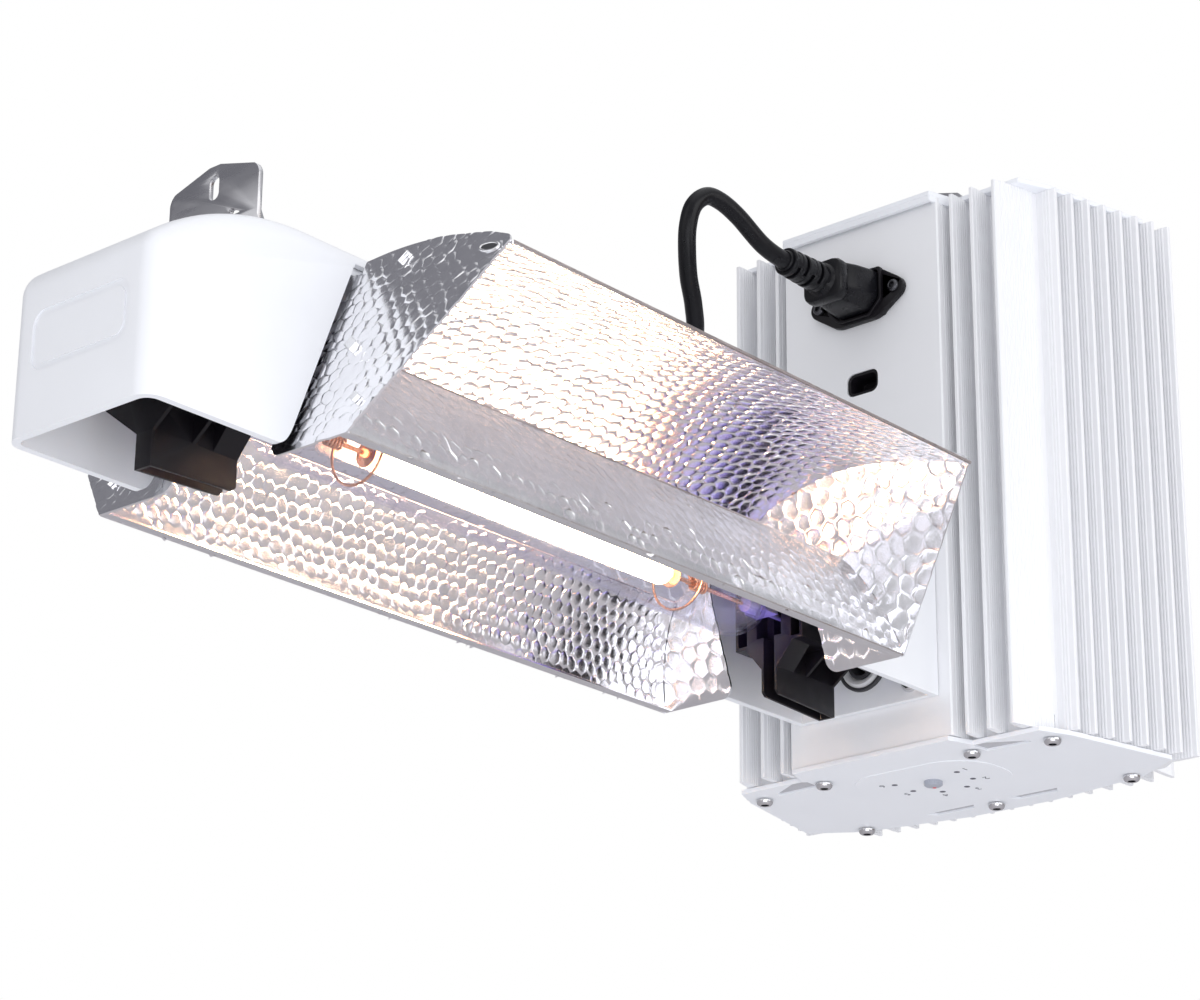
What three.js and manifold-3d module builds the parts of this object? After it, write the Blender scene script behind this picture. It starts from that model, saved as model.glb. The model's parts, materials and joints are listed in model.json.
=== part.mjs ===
// Double-ended grow lamp: a finned ballast with a lamp housing, a hammered gull-wing
// reflector, the lamp itself and its power cord, each piece a separate named mesh.
//
// Millimetres, +Z up. X runs along the lamp from the end cap (-X) to the ballast (+X),
// Y is across the lamp. Every size and place below is measured from the middle of the
// reflector's light opening, level with its lower lips. The finished group is then moved
// so that the origin is the middle of the fixture's footprint, at its lowest point.
import * as THREE from 'three';
import { mergeVertices } from 'three/addons/utils/BufferGeometryUtils.js';
import Module from 'manifold-3d';

const wasm = await Module();
wasm.setup();

// ---------------------------------------------------------------- driving dimensions
const GAP = 0.3;                    // clearance between neighbouring pieces

// reflector
const SLANT = THREE.MathUtils.degToRad(20.36);   // lean of the end plates
const REFLECTOR_HALF = 153.2;       // half length at the lower lips
const LIP = { y: 61, z: 0 };        // lower lip of a baffle
const RIM = { y: 111.3, z: 61.8 };  // outer rim of the top sheet
const SHEET = 1;                    // sheet thickness
const NOTCH_HALF = 24.4;            // half width of the lamp notch in an end plate
const NOTCH_TOP = 52;

// lamp
const LAMP_Z = 28.5;                // height of the lamp axis
const BULB_RADIUS = 15;
const BULB_WALL = 1.2;
const BULB_HALF = 136;
const ARC_RADIUS = 5.4;
const ARC_HALF = 80;
const PIN_RADIUS = 1.3;
const PIN_END = 180;
const SEAL_END = 144.6;

// end cap, channel and socket housing share one cross-section
const BODY_HALF = 35.5;             // half width
const BODY_WALL = 3;
const BODY_TOP = 82.8;
const BODY_CORNER = 9;              // radius of the rounded edges
const CAP_FRONT = -216.4;
const CAP_BROW = 8;
const CAP_DOME = 103;
const CAP_DOME_X = -149;
const CAP_RIM_Z = 1.2;
const ROOF_END = 118;               // |x| where the roofs of cap and housing end
const ROOF_LIP_Z = 77;
const EDGE_OFFSET = 2.8;            // gap between a slanted end plate and its casing

// lamp holders
const HOLDER_LENGTH = 38;
const FAR_HOLDER_X = 145.3;         // lamp side of the far holder
const NEAR_HOLDER_X = -148.3;       // lamp side of the near holder
const POCKET_HALF = 3.9;
const SLOT_HALF = 2.7;
const POCKET_BOTTOM = -7.2;
const POCKET_TOE = -5.6;

// ballast
const FRONT_X = 212.4;              // front face of the ballast
const BALLAST_BOTTOM = -14.7;
const BALLAST_TOP = 224.3;
const FACE_HALF = 41.5;             // half width of the flat front face
const WALL = 3.5;
const FIN = 1.9;                    // fin thickness
const COVER = 2;                    // thickness of both covers
const COVER_SKIRT = 2.6;            // depth of the folded edge of the top cover
const COVER_TOP = BALLAST_TOP + GAP + COVER + COVER_SKIRT;
const COVER_UNDERSIDE = BALLAST_BOTTOM - GAP - COVER;
const COVER_SCREWS = [[231, 38], [231, -38], [236, 74], [236, -74], [303, 69], [303, -69], [304, 0]];
const HOUSING_SCREW_Y = [-23.5, 23.5];
const HOUSING_SCREW_Z = 10;

// ballast fittings
const INLET_Z = 189.8;              // height of the mains inlet
const INLET_FLANGE = 3;
const INLET_DEPTH = 22;
const INLET_SCREW_Y = [-20, 20];
const INLET_PINS = [[-7, INLET_Z - 2], [7, INLET_Z - 2], [0, INLET_Z + 3.5]];
const GROMMET_Z = 23;
const LEAD_HOLE = 8.4;              // radius of the hole that the grommet sits in
const PORT_Z = 151;
const KNOB_X = 257;
const KNOB_RADIUS = 3.9;
const KNOB_HEIGHT = 2.6;
const SELECTOR_STEP = THREE.MathUtils.degToRad(43.6);
const BOARD_X = 272;                // face of the circuit board that carries the parts

// hangers
const HANGER_HALF = 22.5;           // half width of a hanger plate
const HANGER_THICK = 2;
const HANGER_RISE = 28.7;
const HANGER_SLOT = 5;              // width of the slot for a hook or cable
const BOLT_Y = [-14, 14];
const BOLT_OFFSET = 15;             // from the plate's back face to its bolts
const BOLT_HOLE = 2.9;
const CAP_HANGER_X = -160;
const CAP_HANGER_FOOT = BODY_TOP + GAP;
const BALLAST_HANGER_X = 262;
const BALLAST_HANGER_FOOT = COVER_TOP + GAP;

// leads and power cord
const LEAD_RADIUS = 1.5;
const CORD_RADIUS = 3.8;
const CONNECTOR_FACE = FRONT_X + 12;
const PLUG = { x: 61, y: 67, z: 82.6 };
const PLUG_PINS = [[-3.6, 3.4], [3.6, 3.4], [0, -3.2]];

// ---------------------------------------------------------------- materials
const paint = (color, roughness, metalness = 0) =>
  new THREE.MeshStandardMaterial({ color, roughness, metalness });

const whitePaint = paint(0xe9ebf0, 0.5);
const whiteCover = paint(0xe4e7ee, 0.45);
const hammeredAluminium = paint(0xd9dade, 0.25, 1);
const zincSteel = paint(0xa6a8ab, 0.4, 1);
const chrome = paint(0xcfd0d2, 0.2, 1);
const brass = paint(0xc9a14a, 0.35, 1);
const copper = paint(0xb46a3c, 0.4, 1);
const blackPlastic = paint(0x17161a, 0.5);
const blackRubber = paint(0x0e0e10, 0.65);
const greyPlastic = paint(0x8d9098, 0.5);
const whiteRubber = paint(0xd6d6d8, 0.6);
const ceramic = paint(0xf4f1ea, 0.5);
const quartz = paint(0xdfe3f2, 0.05);
const arcCeramic = paint(0xfff3df, 0.4);
const boardGreen = paint(0x1f5a38, 0.5);
const ferrite = paint(0x2b2b2e, 0.7);
const capacitorSleeve = paint(0x23263f, 0.4);

// ---------------------------------------------------------------- shape helpers
const along = {
  // outline (x, y) extruded along +Z
  z: new THREE.Matrix4(),
  // outline (y, z) extruded along +X
  x: new THREE.Matrix4().makeBasis(
    new THREE.Vector3(0, 1, 0), new THREE.Vector3(0, 0, 1), new THREE.Vector3(1, 0, 0)),
  // outline (x, z) extruded along -Y
  y: new THREE.Matrix4().makeBasis(
    new THREE.Vector3(1, 0, 0), new THREE.Vector3(0, 0, 1), new THREE.Vector3(0, -1, 0)),
};

const outline = (points) => new THREE.Shape(points.map(([a, b]) => new THREE.Vector2(a, b)));

// mirrors a half outline, given from its bottom to its top at a >= 0, across a = 0
const mirrored = (half) => [...half, ...half.slice().reverse().map(([a, b]) => [-a, b])];

function arc(cx, cy, radius, from, to, steps) {
  const points = [];
  for (let i = 0; i <= steps; i += 1) {
    const angle = THREE.MathUtils.degToRad(from + (to - from) * i / steps);
    points.push([cx + radius * Math.cos(angle), cy + radius * Math.sin(angle)]);
  }
  return points;
}

function roundedRect(a0, b0, a1, b1, radius, steps = 4) {
  return [
    ...arc(a1 - radius, b0 + radius, radius, -90, 0, steps),
    ...arc(a1 - radius, b1 - radius, radius, 0, 90, steps),
    ...arc(a0 + radius, b1 - radius, radius, 90, 180, steps),
    ...arc(a0 + radius, b0 + radius, radius, 180, 270, steps),
  ];
}

// extrudes an outline along one axis, from `start` to `end` on that axis
function prism(points, axis, start, end) {
  const shape = Array.isArray(points) ? outline(points) : points;
  const geometry = new THREE.ExtrudeGeometry(shape, { depth: end - start, bevelEnabled: false });
  const first = axis === 'y' ? -end : start;
  return geometry.translate(0, 0, first).applyMatrix4(along[axis]);
}

function box(x0, x1, y0, y1, z0, z1) {
  const geometry = new THREE.BoxGeometry(x1 - x0, y1 - y0, z1 - z0);
  return geometry.translate((x0 + x1) / 2, (y0 + y1) / 2, (z0 + z1) / 2);
}

// turns a profile of [radius, height] pairs about one axis through `at`
function turned(profile, axis, at, segments = 24) {
  const points = profile.map(([r, h]) => new THREE.Vector2(r, h));
  const geometry = new THREE.LatheGeometry(points, segments);
  if (axis === 'z') geometry.rotateX(Math.PI / 2);
  if (axis === 'x') geometry.rotateZ(-Math.PI / 2);
  return geometry.translate(...at);
}

const rod = (radius, start, end, axis, at, segments = 16) =>
  turned([[0, start], [radius, start], [radius, end], [0, end]], axis, at, segments);

function tube(points, radius, steps, sides = 10) {
  const curve = new THREE.CatmullRomCurve3(points.map((p) => new THREE.Vector3(...p)));
  const circle = outline(arc(0, 0, radius, 0, 360 * (1 - 1 / sides), sides - 1));
  return new THREE.ExtrudeGeometry(circle, { steps, extrudePath: curve, bevelEnabled: false });
}

// ---------------------------------------------------------------- cutting and joining
function solid(geometry) {
  const bare = geometry.clone();
  bare.deleteAttribute('normal');
  bare.deleteAttribute('uv');
  const merged = mergeVertices(bare, 1e-4);
  const mesh = new wasm.Mesh({
    numProp: 3,
    vertProperties: new Float32Array(merged.attributes.position.array),
    triVerts: new Uint32Array(merged.index.array),
  });
  return new wasm.Manifold(mesh);
}

function geometryOf(manifold) {
  const mesh = manifold.getMesh();
  const geometry = new THREE.BufferGeometry();
  geometry.setAttribute('position', new THREE.BufferAttribute(mesh.vertProperties, 3));
  geometry.setIndex(new THREE.BufferAttribute(mesh.triVerts, 1));
  return geometry;
}

const join = (...parts) => geometryOf(parts.map(solid).reduce((a, b) => a.add(b)));
const cut = (base, ...tools) =>
  geometryOf(tools.map(solid).reduce((a, b) => a.subtract(b), solid(base)));
const common = (...parts) => geometryOf(parts.map(solid).reduce((a, b) => a.intersect(b)));

// ---------------------------------------------------------------- scene graph
const growLamp = new THREE.Group();
growLamp.name = 'grow_lamp';

function add(name, geometry, material) {
  const mesh = new THREE.Mesh(geometry, material);
  mesh.name = name;
  growLamp.add(mesh);
}

// x of the lower-lip end of the reflector, moved towards the middle as z rises
const endX = (z, offset = 0) => REFLECTOR_HALF + offset - z * Math.tan(SLANT);

// ================================================================ reflector
// a strip of sheet along an open line of (y, z) points, thickened to its left
function strip(points, thickness) {
  const far = points.map(([y, z], i) => {
    const [py, pz] = points[Math.max(i - 1, 0)];
    const [ny, nz] = points[Math.min(i + 1, points.length - 1)];
    const length = Math.hypot(ny - py, nz - pz);
    return [y - (nz - pz) / length * thickness, z + (ny - py) / length * thickness];
  });
  return [...points, ...far.reverse()];
}

// everything between the two slanted end plates
function betweenEndPlates(clearance) {
  const low = -10;
  const high = 100;
  const corners = [
    [-endX(low, -clearance), low], [endX(low, -clearance), low],
    [endX(high, -clearance), high], [-endX(high, -clearance), high],
  ];
  return prism(corners, 'y', -150, 150);
}

function topReflector() {
  const half = [[RIM.y, RIM.z], [79.7, 69.9], [57.3, 72.4], [37, 71], [19.9, 67.6], [7.6, 62.7]];
  const line = [...half, [0, 60.6], ...half.slice().reverse().map(([y, z]) => [-y, z])];
  const sheet = prism(strip(line.reverse(), SHEET), 'x', -REFLECTOR_HALF, REFLECTOR_HALF);
  return common(sheet, betweenEndPlates(0.8));
}

// side baffle: a shallow arc of sheet from the lower lip up to its free top edge
function baffle(side) {
  const radius = 76;
  const top = { y: 43, z: 40.4 };
  const chord = Math.hypot(LIP.y - top.y, top.z - LIP.z);
  const depth = Math.sqrt(radius * radius - chord * chord / 4);
  const dirY = (top.y - LIP.y) / chord;
  const dirZ = (top.z - LIP.z) / chord;
  const cy = (LIP.y + top.y) / 2 - dirZ * depth;
  const cz = (LIP.z + top.z) / 2 + dirY * depth;
  const from = THREE.MathUtils.radToDeg(Math.atan2(LIP.z - cz, LIP.y - cy));
  const to = THREE.MathUtils.radToDeg(Math.atan2(top.z - cz, top.y - cy));
  const wall = [...arc(cy, cz, radius, from, to, 8), ...arc(cy, cz, radius - SHEET, to, from, 8)];
  const hemWidth = 4;
  const hem = box(-REFLECTOR_HALF, REFLECTOR_HALF, LIP.y - hemWidth, LIP.y - 0.3, 0, SHEET);
  const sheet = join(prism(wall, 'x', -REFLECTOR_HALF, REFLECTOR_HALF), hem);
  if (side < 0) sheet.rotateZ(Math.PI);
  return common(sheet, betweenEndPlates(0.8));
}

// slanted, notched end plate; `side` is -1 at the end cap and +1 at the ballast
function endPlate(side) {
  const corner = 5;
  const stretch = 1 / Math.cos(SLANT);
  const half = [
    [RIM.y - 1.1, RIM.z + 0.5], [109, 65], [99.7, 69.2], [84.9, 73.3], [72.9, 76.2],
    [61.4, 77.7], [50.1, 78.2], [38.3, 77.6], [38.3, 72.6], [0, 72.6],
  ];
  const notch = [
    [0, NOTCH_TOP], ...arc(NOTCH_HALF - 14, NOTCH_TOP - 14, 14, 90, 0, 5),
    ...arc(NOTCH_HALF + corner, corner + 0.2, corner, 180, 270, 4), [LIP.y - 0.4, 0.2],
  ];
  const right = [...notch, ...half];
  const flat = right.map(([y, z]) => [y, z * stretch]);
  const left = flat.slice(1, -1).reverse().map(([y, z]) => [-y, z]);
  const plate = prism([...flat, ...left], 'x', 0, SHEET);
  plate.rotateY(-SLANT);
  plate.translate(REFLECTOR_HALF, 0, 0);
  if (side < 0) plate.rotateZ(Math.PI);
  return plate;
}

add('top_reflector', topReflector(), hammeredAluminium);
add('left_baffle', baffle(1), hammeredAluminium);
add('right_baffle', baffle(-1), hammeredAluminium);
add('near_end_plate', endPlate(-1), hammeredAluminium);
add('far_end_plate', endPlate(1), hammeredAluminium);

// ================================================================ lamp
function bulb() {
  const shoulder = 16;
  const neck = 5.2;
  const bend = BULB_HALF - shoulder;
  const outer = [
    [neck, -BULB_HALF], [9.5, -BULB_HALF + 3], [13.2, -BULB_HALF + 8], [BULB_RADIUS, -bend],
    [BULB_RADIUS, bend], [13.2, BULB_HALF - 8], [9.5, BULB_HALF - 3], [neck, BULB_HALF],
  ];
  const inner = outer.map(([r, h]) => [r - BULB_WALL, h]).reverse();
  return turned([...outer, ...inner, outer[0]], 'x', [0, 0, LAMP_Z], 28);
}

// pressed quartz seal with the contact pin that slides into a lamp holder
function seal(side) {
  const press = box(BULB_HALF + GAP, SEAL_END, -5.4, 5.4, LAMP_Z - 1.7, LAMP_Z + 1.7);
  const pin = rod(PIN_RADIUS, SEAL_END - 2, PIN_END, 'x', [0, 0, LAMP_Z], 12);
  const neck = rod(3.2, BULB_HALF - 6, BULB_HALF + 2, 'x', [0, 0, LAMP_Z], 12);
  const piece = join(press, pin, neck);
  if (side < 0) piece.rotateZ(Math.PI);
  return piece;
}

// wire support between a seal and the arc tube, with its ring inside the bulb
function support(side) {
  const ringX = ARC_HALF + 8.5;
  const ringRadius = 12.6;
  const ring = turned([
    [ringRadius - 0.5, -0.5], [ringRadius + 0.5, -0.5], [ringRadius + 0.5, 0.5],
    [ringRadius - 0.5, 0.5], [ringRadius - 0.5, -0.5],
  ], 'x', [ringX, 0, LAMP_Z], 24);
  const spoke = box(ringX - 0.5, ringX + 0.5, -0.5, 0.5, LAMP_Z, LAMP_Z + ringRadius);
  const wire = rod(0.9, ARC_HALF + 6.3, BULB_HALF - 6.3, 'x', [0, 0, LAMP_Z], 8);
  const disc = rod(3.4, ringX + 3, ringX + 4, 'x', [0, 0, LAMP_Z], 16);
  const piece = join(ring, spoke, wire, disc);
  if (side < 0) piece.rotateZ(Math.PI);
  return piece;
}

const arcProfile = [
  [0, -ARC_HALF - 6], [1.8, -ARC_HALF - 6], [1.8, -ARC_HALF], [ARC_RADIUS, -ARC_HALF + 2],
  [ARC_RADIUS, ARC_HALF - 2], [1.8, ARC_HALF], [1.8, ARC_HALF + 6], [0, ARC_HALF + 6],
];
add('bulb_envelope', bulb(), quartz);
add('arc_tube', turned(arcProfile, 'x', [0, 0, LAMP_Z], 20), arcCeramic);
add('near_lamp_seal', seal(-1), ceramic);
add('far_lamp_seal', seal(1), ceramic);
add('near_wire_support', support(-1), zincSteel);
add('far_wire_support', support(1), zincSteel);

// ================================================================ lamp holders
// moulded holder with a slot that is open below and towards the lamp; its local x runs
// from the lamp side (0) outwards, and its plate hangs from the channel
function holder(place, side) {
  const flare = mirrored([[POCKET_HALF, 5.6], [12.2, 15.6], [12.2, 60]]);
  const wing = mirrored([[17, 15.5], [17, 60]]);
  const back = mirrored([[POCKET_HALF, 5.6], [27, 23], [27, 60]]);
  const gusset = mirrored([[POCKET_HALF, 5.8], [22, 20], [22, 60]]);
  const pocket = [
    [0, 20], [0, POCKET_TOE + 1.5], [1.6, POCKET_TOE], [HOLDER_LENGTH, POCKET_BOTTOM],
    [HOLDER_LENGTH, 20],
  ];
  const flareLength = 11;
  const rib = 1.4;
  const ribX = 19;
  const body = [
    prism(pocket, 'y', -POCKET_HALF, POCKET_HALF),
    prism(flare, 'x', 0, flareLength),
    prism(wing, 'x', 0, HOLDER_LENGTH - 3),
    prism(back, 'x', HOLDER_LENGTH - rib, HOLDER_LENGTH),
    prism(gusset, 'x', ribX, ribX + rib),
    box(0, HOLDER_LENGTH, -27, 27, 58, 68.4),
  ];
  const slot = box(-1, HOLDER_LENGTH - 1.3, -SLOT_HALF, SLOT_HALF, POCKET_BOTTOM - 1, 38);
  const windows = [-1, 1].map((hand) => {
    const inner = hand * 11.2;
    const outer = hand * 15.6;
    return box(-1, 6, Math.min(inner, outer), Math.max(inner, outer), 16.9, 27);
  });
  const mouth = box(-1, 7, -6.2, 6.2, 18.8, 38);
  const piece = cut(join(...body), slot, mouth, ...windows);
  if (side < 0) piece.rotateZ(Math.PI);
  return piece.translate(place, 0, 0);
}

// folded spring contact inside the slot, open below, gripping the lamp pin
function contactClip(place, side) {
  const leaf = 0.5;
  const outer = SLOT_HALF - GAP;
  const arch = [
    [-outer, LAMP_Z - 5], [-outer + leaf, LAMP_Z - 5], [-outer + leaf, LAMP_Z + 8],
    [outer - leaf, LAMP_Z + 8], [outer - leaf, LAMP_Z - 5], [outer, LAMP_Z - 5],
    [outer, LAMP_Z + 8.8], [-outer, LAMP_Z + 8.8],
  ];
  const piece = prism(arch, 'x', 18, 30);
  if (side < 0) piece.rotateZ(Math.PI);
  return piece.translate(place, 0, 0);
}

add('near_lamp_holder', holder(NEAR_HOLDER_X, -1), blackPlastic);
add('far_lamp_holder', holder(FAR_HOLDER_X, 1), blackPlastic);
add('near_contact_clip', contactClip(NEAR_HOLDER_X, -1), copper);
add('far_contact_clip', contactClip(FAR_HOLDER_X, 1), copper);

// ================================================================ end cap and channel
// rounded brow and domed roof of the cap, from its front face to where the roof runs level
function capRoof(inset) {
  const browX = CAP_FRONT + CAP_BROW;
  const domeZ = BODY_TOP - CAP_DOME;
  const rise = Math.sqrt((CAP_DOME - CAP_BROW) ** 2 - (browX - CAP_DOME_X) ** 2);
  const turn = Math.atan2(rise, browX - CAP_DOME_X) * 180 / Math.PI;
  return [
    ...arc(browX, domeZ + rise, CAP_BROW - inset, 180, turn, 6),
    ...arc(CAP_DOME_X, domeZ, CAP_DOME - inset, turn, 90, 12).slice(1),
  ];
}

// side profile of the cap: rim, slanted rear edge with a rounded heel, and roof
function capOutline() {
  const heel = 7;
  const edge = (z) => -endX(z, EDGE_OFFSET);
  return [
    [CAP_FRONT, CAP_RIM_Z], [edge(CAP_RIM_Z) - heel, CAP_RIM_Z],
    [edge(CAP_RIM_Z + 1) - 1.5, CAP_RIM_Z + 1], [edge(CAP_RIM_Z + heel), CAP_RIM_Z + heel],
    [edge(ROOF_LIP_Z), ROOF_LIP_Z], [-ROOF_END, ROOF_LIP_Z], [-ROOF_END, BODY_TOP],
    ...capRoof(0).reverse(),
  ];
}

// side profile of the hollow, which runs out below and past the open end
function capHollow(inset) {
  const below = -10;
  const past = -90;
  return [
    [CAP_FRONT + inset, below], [past, below], [past, BODY_TOP - inset], ...capRoof(inset).reverse(),
  ];
}

function capBlock(inset) {
  const half = BODY_HALF - inset;
  const radius = BODY_CORNER - inset;
  const side = prism(inset > 0 ? capHollow(inset) : capOutline(), 'y', -half, half);
  const plan = prism(roundedRect(CAP_FRONT + inset, -half, 0, half, radius), 'z', -20, 120);
  const crown = prism(roundedRect(-half, -60, half, BODY_TOP - inset, radius), 'x', -260, 0);
  return common(side, plan, crown);
}

// L-shaped hanger plate with a jogged gable and a vertical slot for a hook or cable
function hanger(x, foot) {
  const half = HANGER_HALF;
  const thick = HANGER_THICK;
  const gable = mirrored([
    [half, 0], [half, HANGER_RISE - 6.8], [half - 2.5, HANGER_RISE - 4.9], [2.8, HANGER_RISE],
  ]);
  const upper = prism(gable.map(([y, z]) => [y, z + foot]), 'x', x - thick, x);
  const jog = prism([
    [x - thick, foot + 6], [x, foot + 6], [x + thick, foot + 2], [x + thick, foot],
    [x, foot], [x - thick, foot + 4],
  ], 'y', -half, half);
  const flange = box(x, x + 26, -half, half, foot, foot + thick);
  const below = box(x - 2 * thick, x, -half - 1, half + 1, foot - 1, foot + 5);
  const opening = roundedRect(
    -HANGER_SLOT / 2, foot + 15.7, HANGER_SLOT / 2, foot + 25, HANGER_SLOT / 2 - 0.1);
  const slot = prism(opening, 'x', x - 10, x + 10);
  const notch = prism([[-15, foot + 7], [-8, foot + 7], [-8, foot + 10.5]], 'x', x - 10, x + 10);
  const plate = join(cut(upper, below), jog, flange);
  return cut(plate, slot, notch, ...boltHoles(x, foot, 5));
}

const boltHoles = (x, z, reach = 12) =>
  BOLT_Y.map((y) => rod(BOLT_HOLE, z - reach, z + reach, 'z', [x + BOLT_OFFSET, y, 0], 12));

function bolt(x, y, z) {
  const head = 4;
  const shank = 2.5;
  const hexagon = 6;
  const top = prism(arc(x, y, head, 0, 360 - 360 / hexagon, hexagon - 1), 'z', z, z + 3);
  return join(top, rod(shank, z - 9, z + 1, 'z', [x, y, 0], 12));
}

const hangerBolts = (x, foot) => BOLT_Y.map((y) => bolt(x + BOLT_OFFSET, y, foot + HANGER_THICK + GAP));

function endCap() {
  return cut(capBlock(0), capBlock(BODY_WALL), ...boltHoles(CAP_HANGER_X, BODY_TOP));
}

// U-shaped channel that joins the end cap to the socket housing above the reflector
function topChannel() {
  const half = BODY_HALF - BODY_WALL - GAP;
  const top = BODY_TOP - BODY_WALL - GAP;
  const wall = 2;
  const low = 73.8;
  const start = -150;
  const end = FRONT_X - BODY_WALL - 2 * GAP;
  const outer = prism(roundedRect(-half, low - 20, half, top, 5.2), 'x', start, end);
  const inner = box(start - 1, end + 1, wall - half, half - wall, 50, top - wall);
  const below = box(start - 1, end + 1, -half - 1, half + 1, 50, low);
  return cut(outer, inner, below, ...boltHoles(CAP_HANGER_X, BODY_TOP));
}

// ================================================================ socket housing
function socketHousing() {
  const rim = 3.1;
  const back = FRONT_X - GAP;
  const heel = 7;
  const profile = (inset) => {
    const bottom = inset > 0 ? -10 : rim;
    const top = BODY_TOP - inset;
    if (inset > 0) return [[90, bottom], [back - inset, bottom], [back - inset, top], [90, top]];
    return [
      [endX(rim, EDGE_OFFSET) + heel, rim], [back, rim], [back, top], [ROOF_END, top],
      [ROOF_END, ROOF_LIP_Z], [endX(ROOF_LIP_Z, EDGE_OFFSET), ROOF_LIP_Z],
      [endX(rim + heel, EDGE_OFFSET), rim + heel],
    ];
  };
  const block = (inset) => {
    const half = BODY_HALF - inset;
    const side = prism(profile(inset), 'y', -half, half);
    const crown = prism(roundedRect(-half, -60, half, BODY_TOP - inset, BODY_CORNER - inset), 'x', 0, 260);
    return common(side, crown);
  };
  const leadHole = rod(LEAD_HOLE, 200, 220, 'x', [0, 0, GROMMET_Z], 24);
  const screwHoles = HOUSING_SCREW_Y.map((y) =>
    rod(2.4, 200, 220, 'x', [0, y, HOUSING_SCREW_Z], 12));
  return cut(block(0), block(BODY_WALL), leadHole, ...screwHoles);
}

// pan-head screw pointing along an axis; its head starts at `seat` and the shank runs on
function screw(axis, at, seat, direction, head, shank, length) {
  const height = head * 0.55;
  const profile = [
    [0, -height], [head * 0.62, -height], [head * 0.92, -height * 0.6], [head, 0],
    [shank, 0], [shank, length], [0, length],
  ].map(([r, h]) => [r, seat + direction * h]);
  return turned(direction > 0 ? profile : profile.reverse(), axis, at, 12);
}

add('end_cap', endCap(), whitePaint);
add('top_channel', topChannel(), whitePaint);
add('cap_hanger', hanger(CAP_HANGER_X, CAP_HANGER_FOOT), zincSteel);
hangerBolts(CAP_HANGER_X, CAP_HANGER_FOOT).forEach((geometry, i) => {
  add(`cap_hanger_bolt_${i + 1}`, geometry, chrome);
});
add('socket_housing', socketHousing(), whitePaint);
HOUSING_SCREW_Y.forEach((y, i) => {
  const seat = FRONT_X - GAP - BODY_WALL - GAP;
  add(`housing_screw_${i + 1}`, screw('x', [0, y, HOUSING_SCREW_Z], seat, 1, 4, 2, 9), chrome);
});

// ================================================================ ballast housing
// half plan of the finned extrusion, walked from the front face to the rear middle
function housingOutline() {
  const front = { x: FRONT_X, root: 227, tip: 214, at: [47.5, 58], corner: 69.5 };
  const side = { first: 238.5, pitch: 9.15, count: 8 };
  const rear = { root: 309, tip: 324, pitch: 10.2, count: 8 };
  const sideRoot = (x) => 74 + 0.2 * (x - 228);
  const sideTip = (x) => 85.5 + 0.26 * (x - side.first);
  const half = [[front.x, 0], [front.x, FACE_HALF], [front.root, FACE_HALF]];
  front.at.forEach((y) => {
    half.push([front.root, y - FIN / 2], [front.tip, y - FIN / 2]);
    half.push([front.tip, y + FIN / 2], [front.root, y + FIN / 2]);
  });
  // the last front fin is the start of the side wall
  half.push([front.root, front.corner - FIN / 2], [front.tip, front.corner - FIN / 2]);
  half.push([front.tip, front.corner + FIN / 2]);
  for (let i = 0; i < side.count; i += 1) {
    const x = side.first + i * side.pitch;
    half.push([x - FIN / 2, sideRoot(x)], [x - FIN / 2, sideTip(x)]);
    half.push([x + FIN / 2, sideTip(x)], [x + FIN / 2, sideRoot(x)]);
  }
  half.push([rear.root, 82]);
  for (let i = rear.count - 1; i >= 0; i -= 1) {
    const y = (i + 0.5) * rear.pitch;
    half.push([rear.root, y + FIN / 2], [rear.tip, y + FIN / 2]);
    half.push([rear.tip, y - FIN / 2], [rear.root, y - FIN / 2]);
  }
  return half;
}

const wholePlan = (half) => {
  const inner = half.filter(([, y]) => y > 0).reverse().map(([x, y]) => [x, -y]);
  return [...half.filter(([, y]) => y > 0), ...inner];
};

function ballastHousing() {
  const cavity = [
    [FRONT_X + WALL, FACE_HALF - WALL], [230, FACE_HALF - WALL], [231, 70], [296, 82.5],
    [305.5, 72], [305.5, 0],
  ];
  const shape = outline(wholePlan(housingOutline()));
  shape.holes.push(outline(wholePlan(cavity).reverse()));
  const shell = prism(shape, 'z', BALLAST_BOTTOM, BALLAST_TOP);
  const bosses = COVER_SCREWS.map(([x, y]) =>
    rod(4.6, BALLAST_BOTTOM, BALLAST_TOP, 'z', [x, y, 0], 12));
  const tapped = COVER_SCREWS.flatMap(([x, y]) => [
    rod(2.1, BALLAST_BOTTOM - 1, BALLAST_BOTTOM + 12, 'z', [x, y, 0], 10),
    rod(2.1, BALLAST_TOP - 12, BALLAST_TOP + 1, 'z', [x, y, 0], 10),
  ]);
  const inletHole = prism(inletOutline(14.2, 10.6), 'x', FRONT_X - 5, FRONT_X + 8);
  const portHole = prism(roundedRect(-8.6, PORT_Z - 5.6, 8.6, PORT_Z + 5.6, 4), 'x', 200, 222);
  const leadHole = rod(LEAD_HOLE, 200, 225, 'x', [0, 0, GROMMET_Z], 24);
  const inletScrews = INLET_SCREW_Y.map((y) => rod(1.8, 200, 222, 'x', [0, y, INLET_Z], 10));
  const housingScrews = HOUSING_SCREW_Y.map((y) =>
    rod(2.3, 200, 222, 'x', [0, y, HOUSING_SCREW_Z], 10));
  const holes = [inletHole, portHole, leadHole, ...inletScrews, ...housingScrews, ...tapped];
  return cut(join(shell, ...bosses), ...holes);
}

// both covers share this plan; the front edge is set by `nose`
const coverPlan = (nose) => wholePlan([
  [nose, 0], [nose, 40], [223, 44], [223, 76.5], [237, 82.5], [293, 95], [307, 73],
  [315.5, 22], [315.5, 0],
]);

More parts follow.
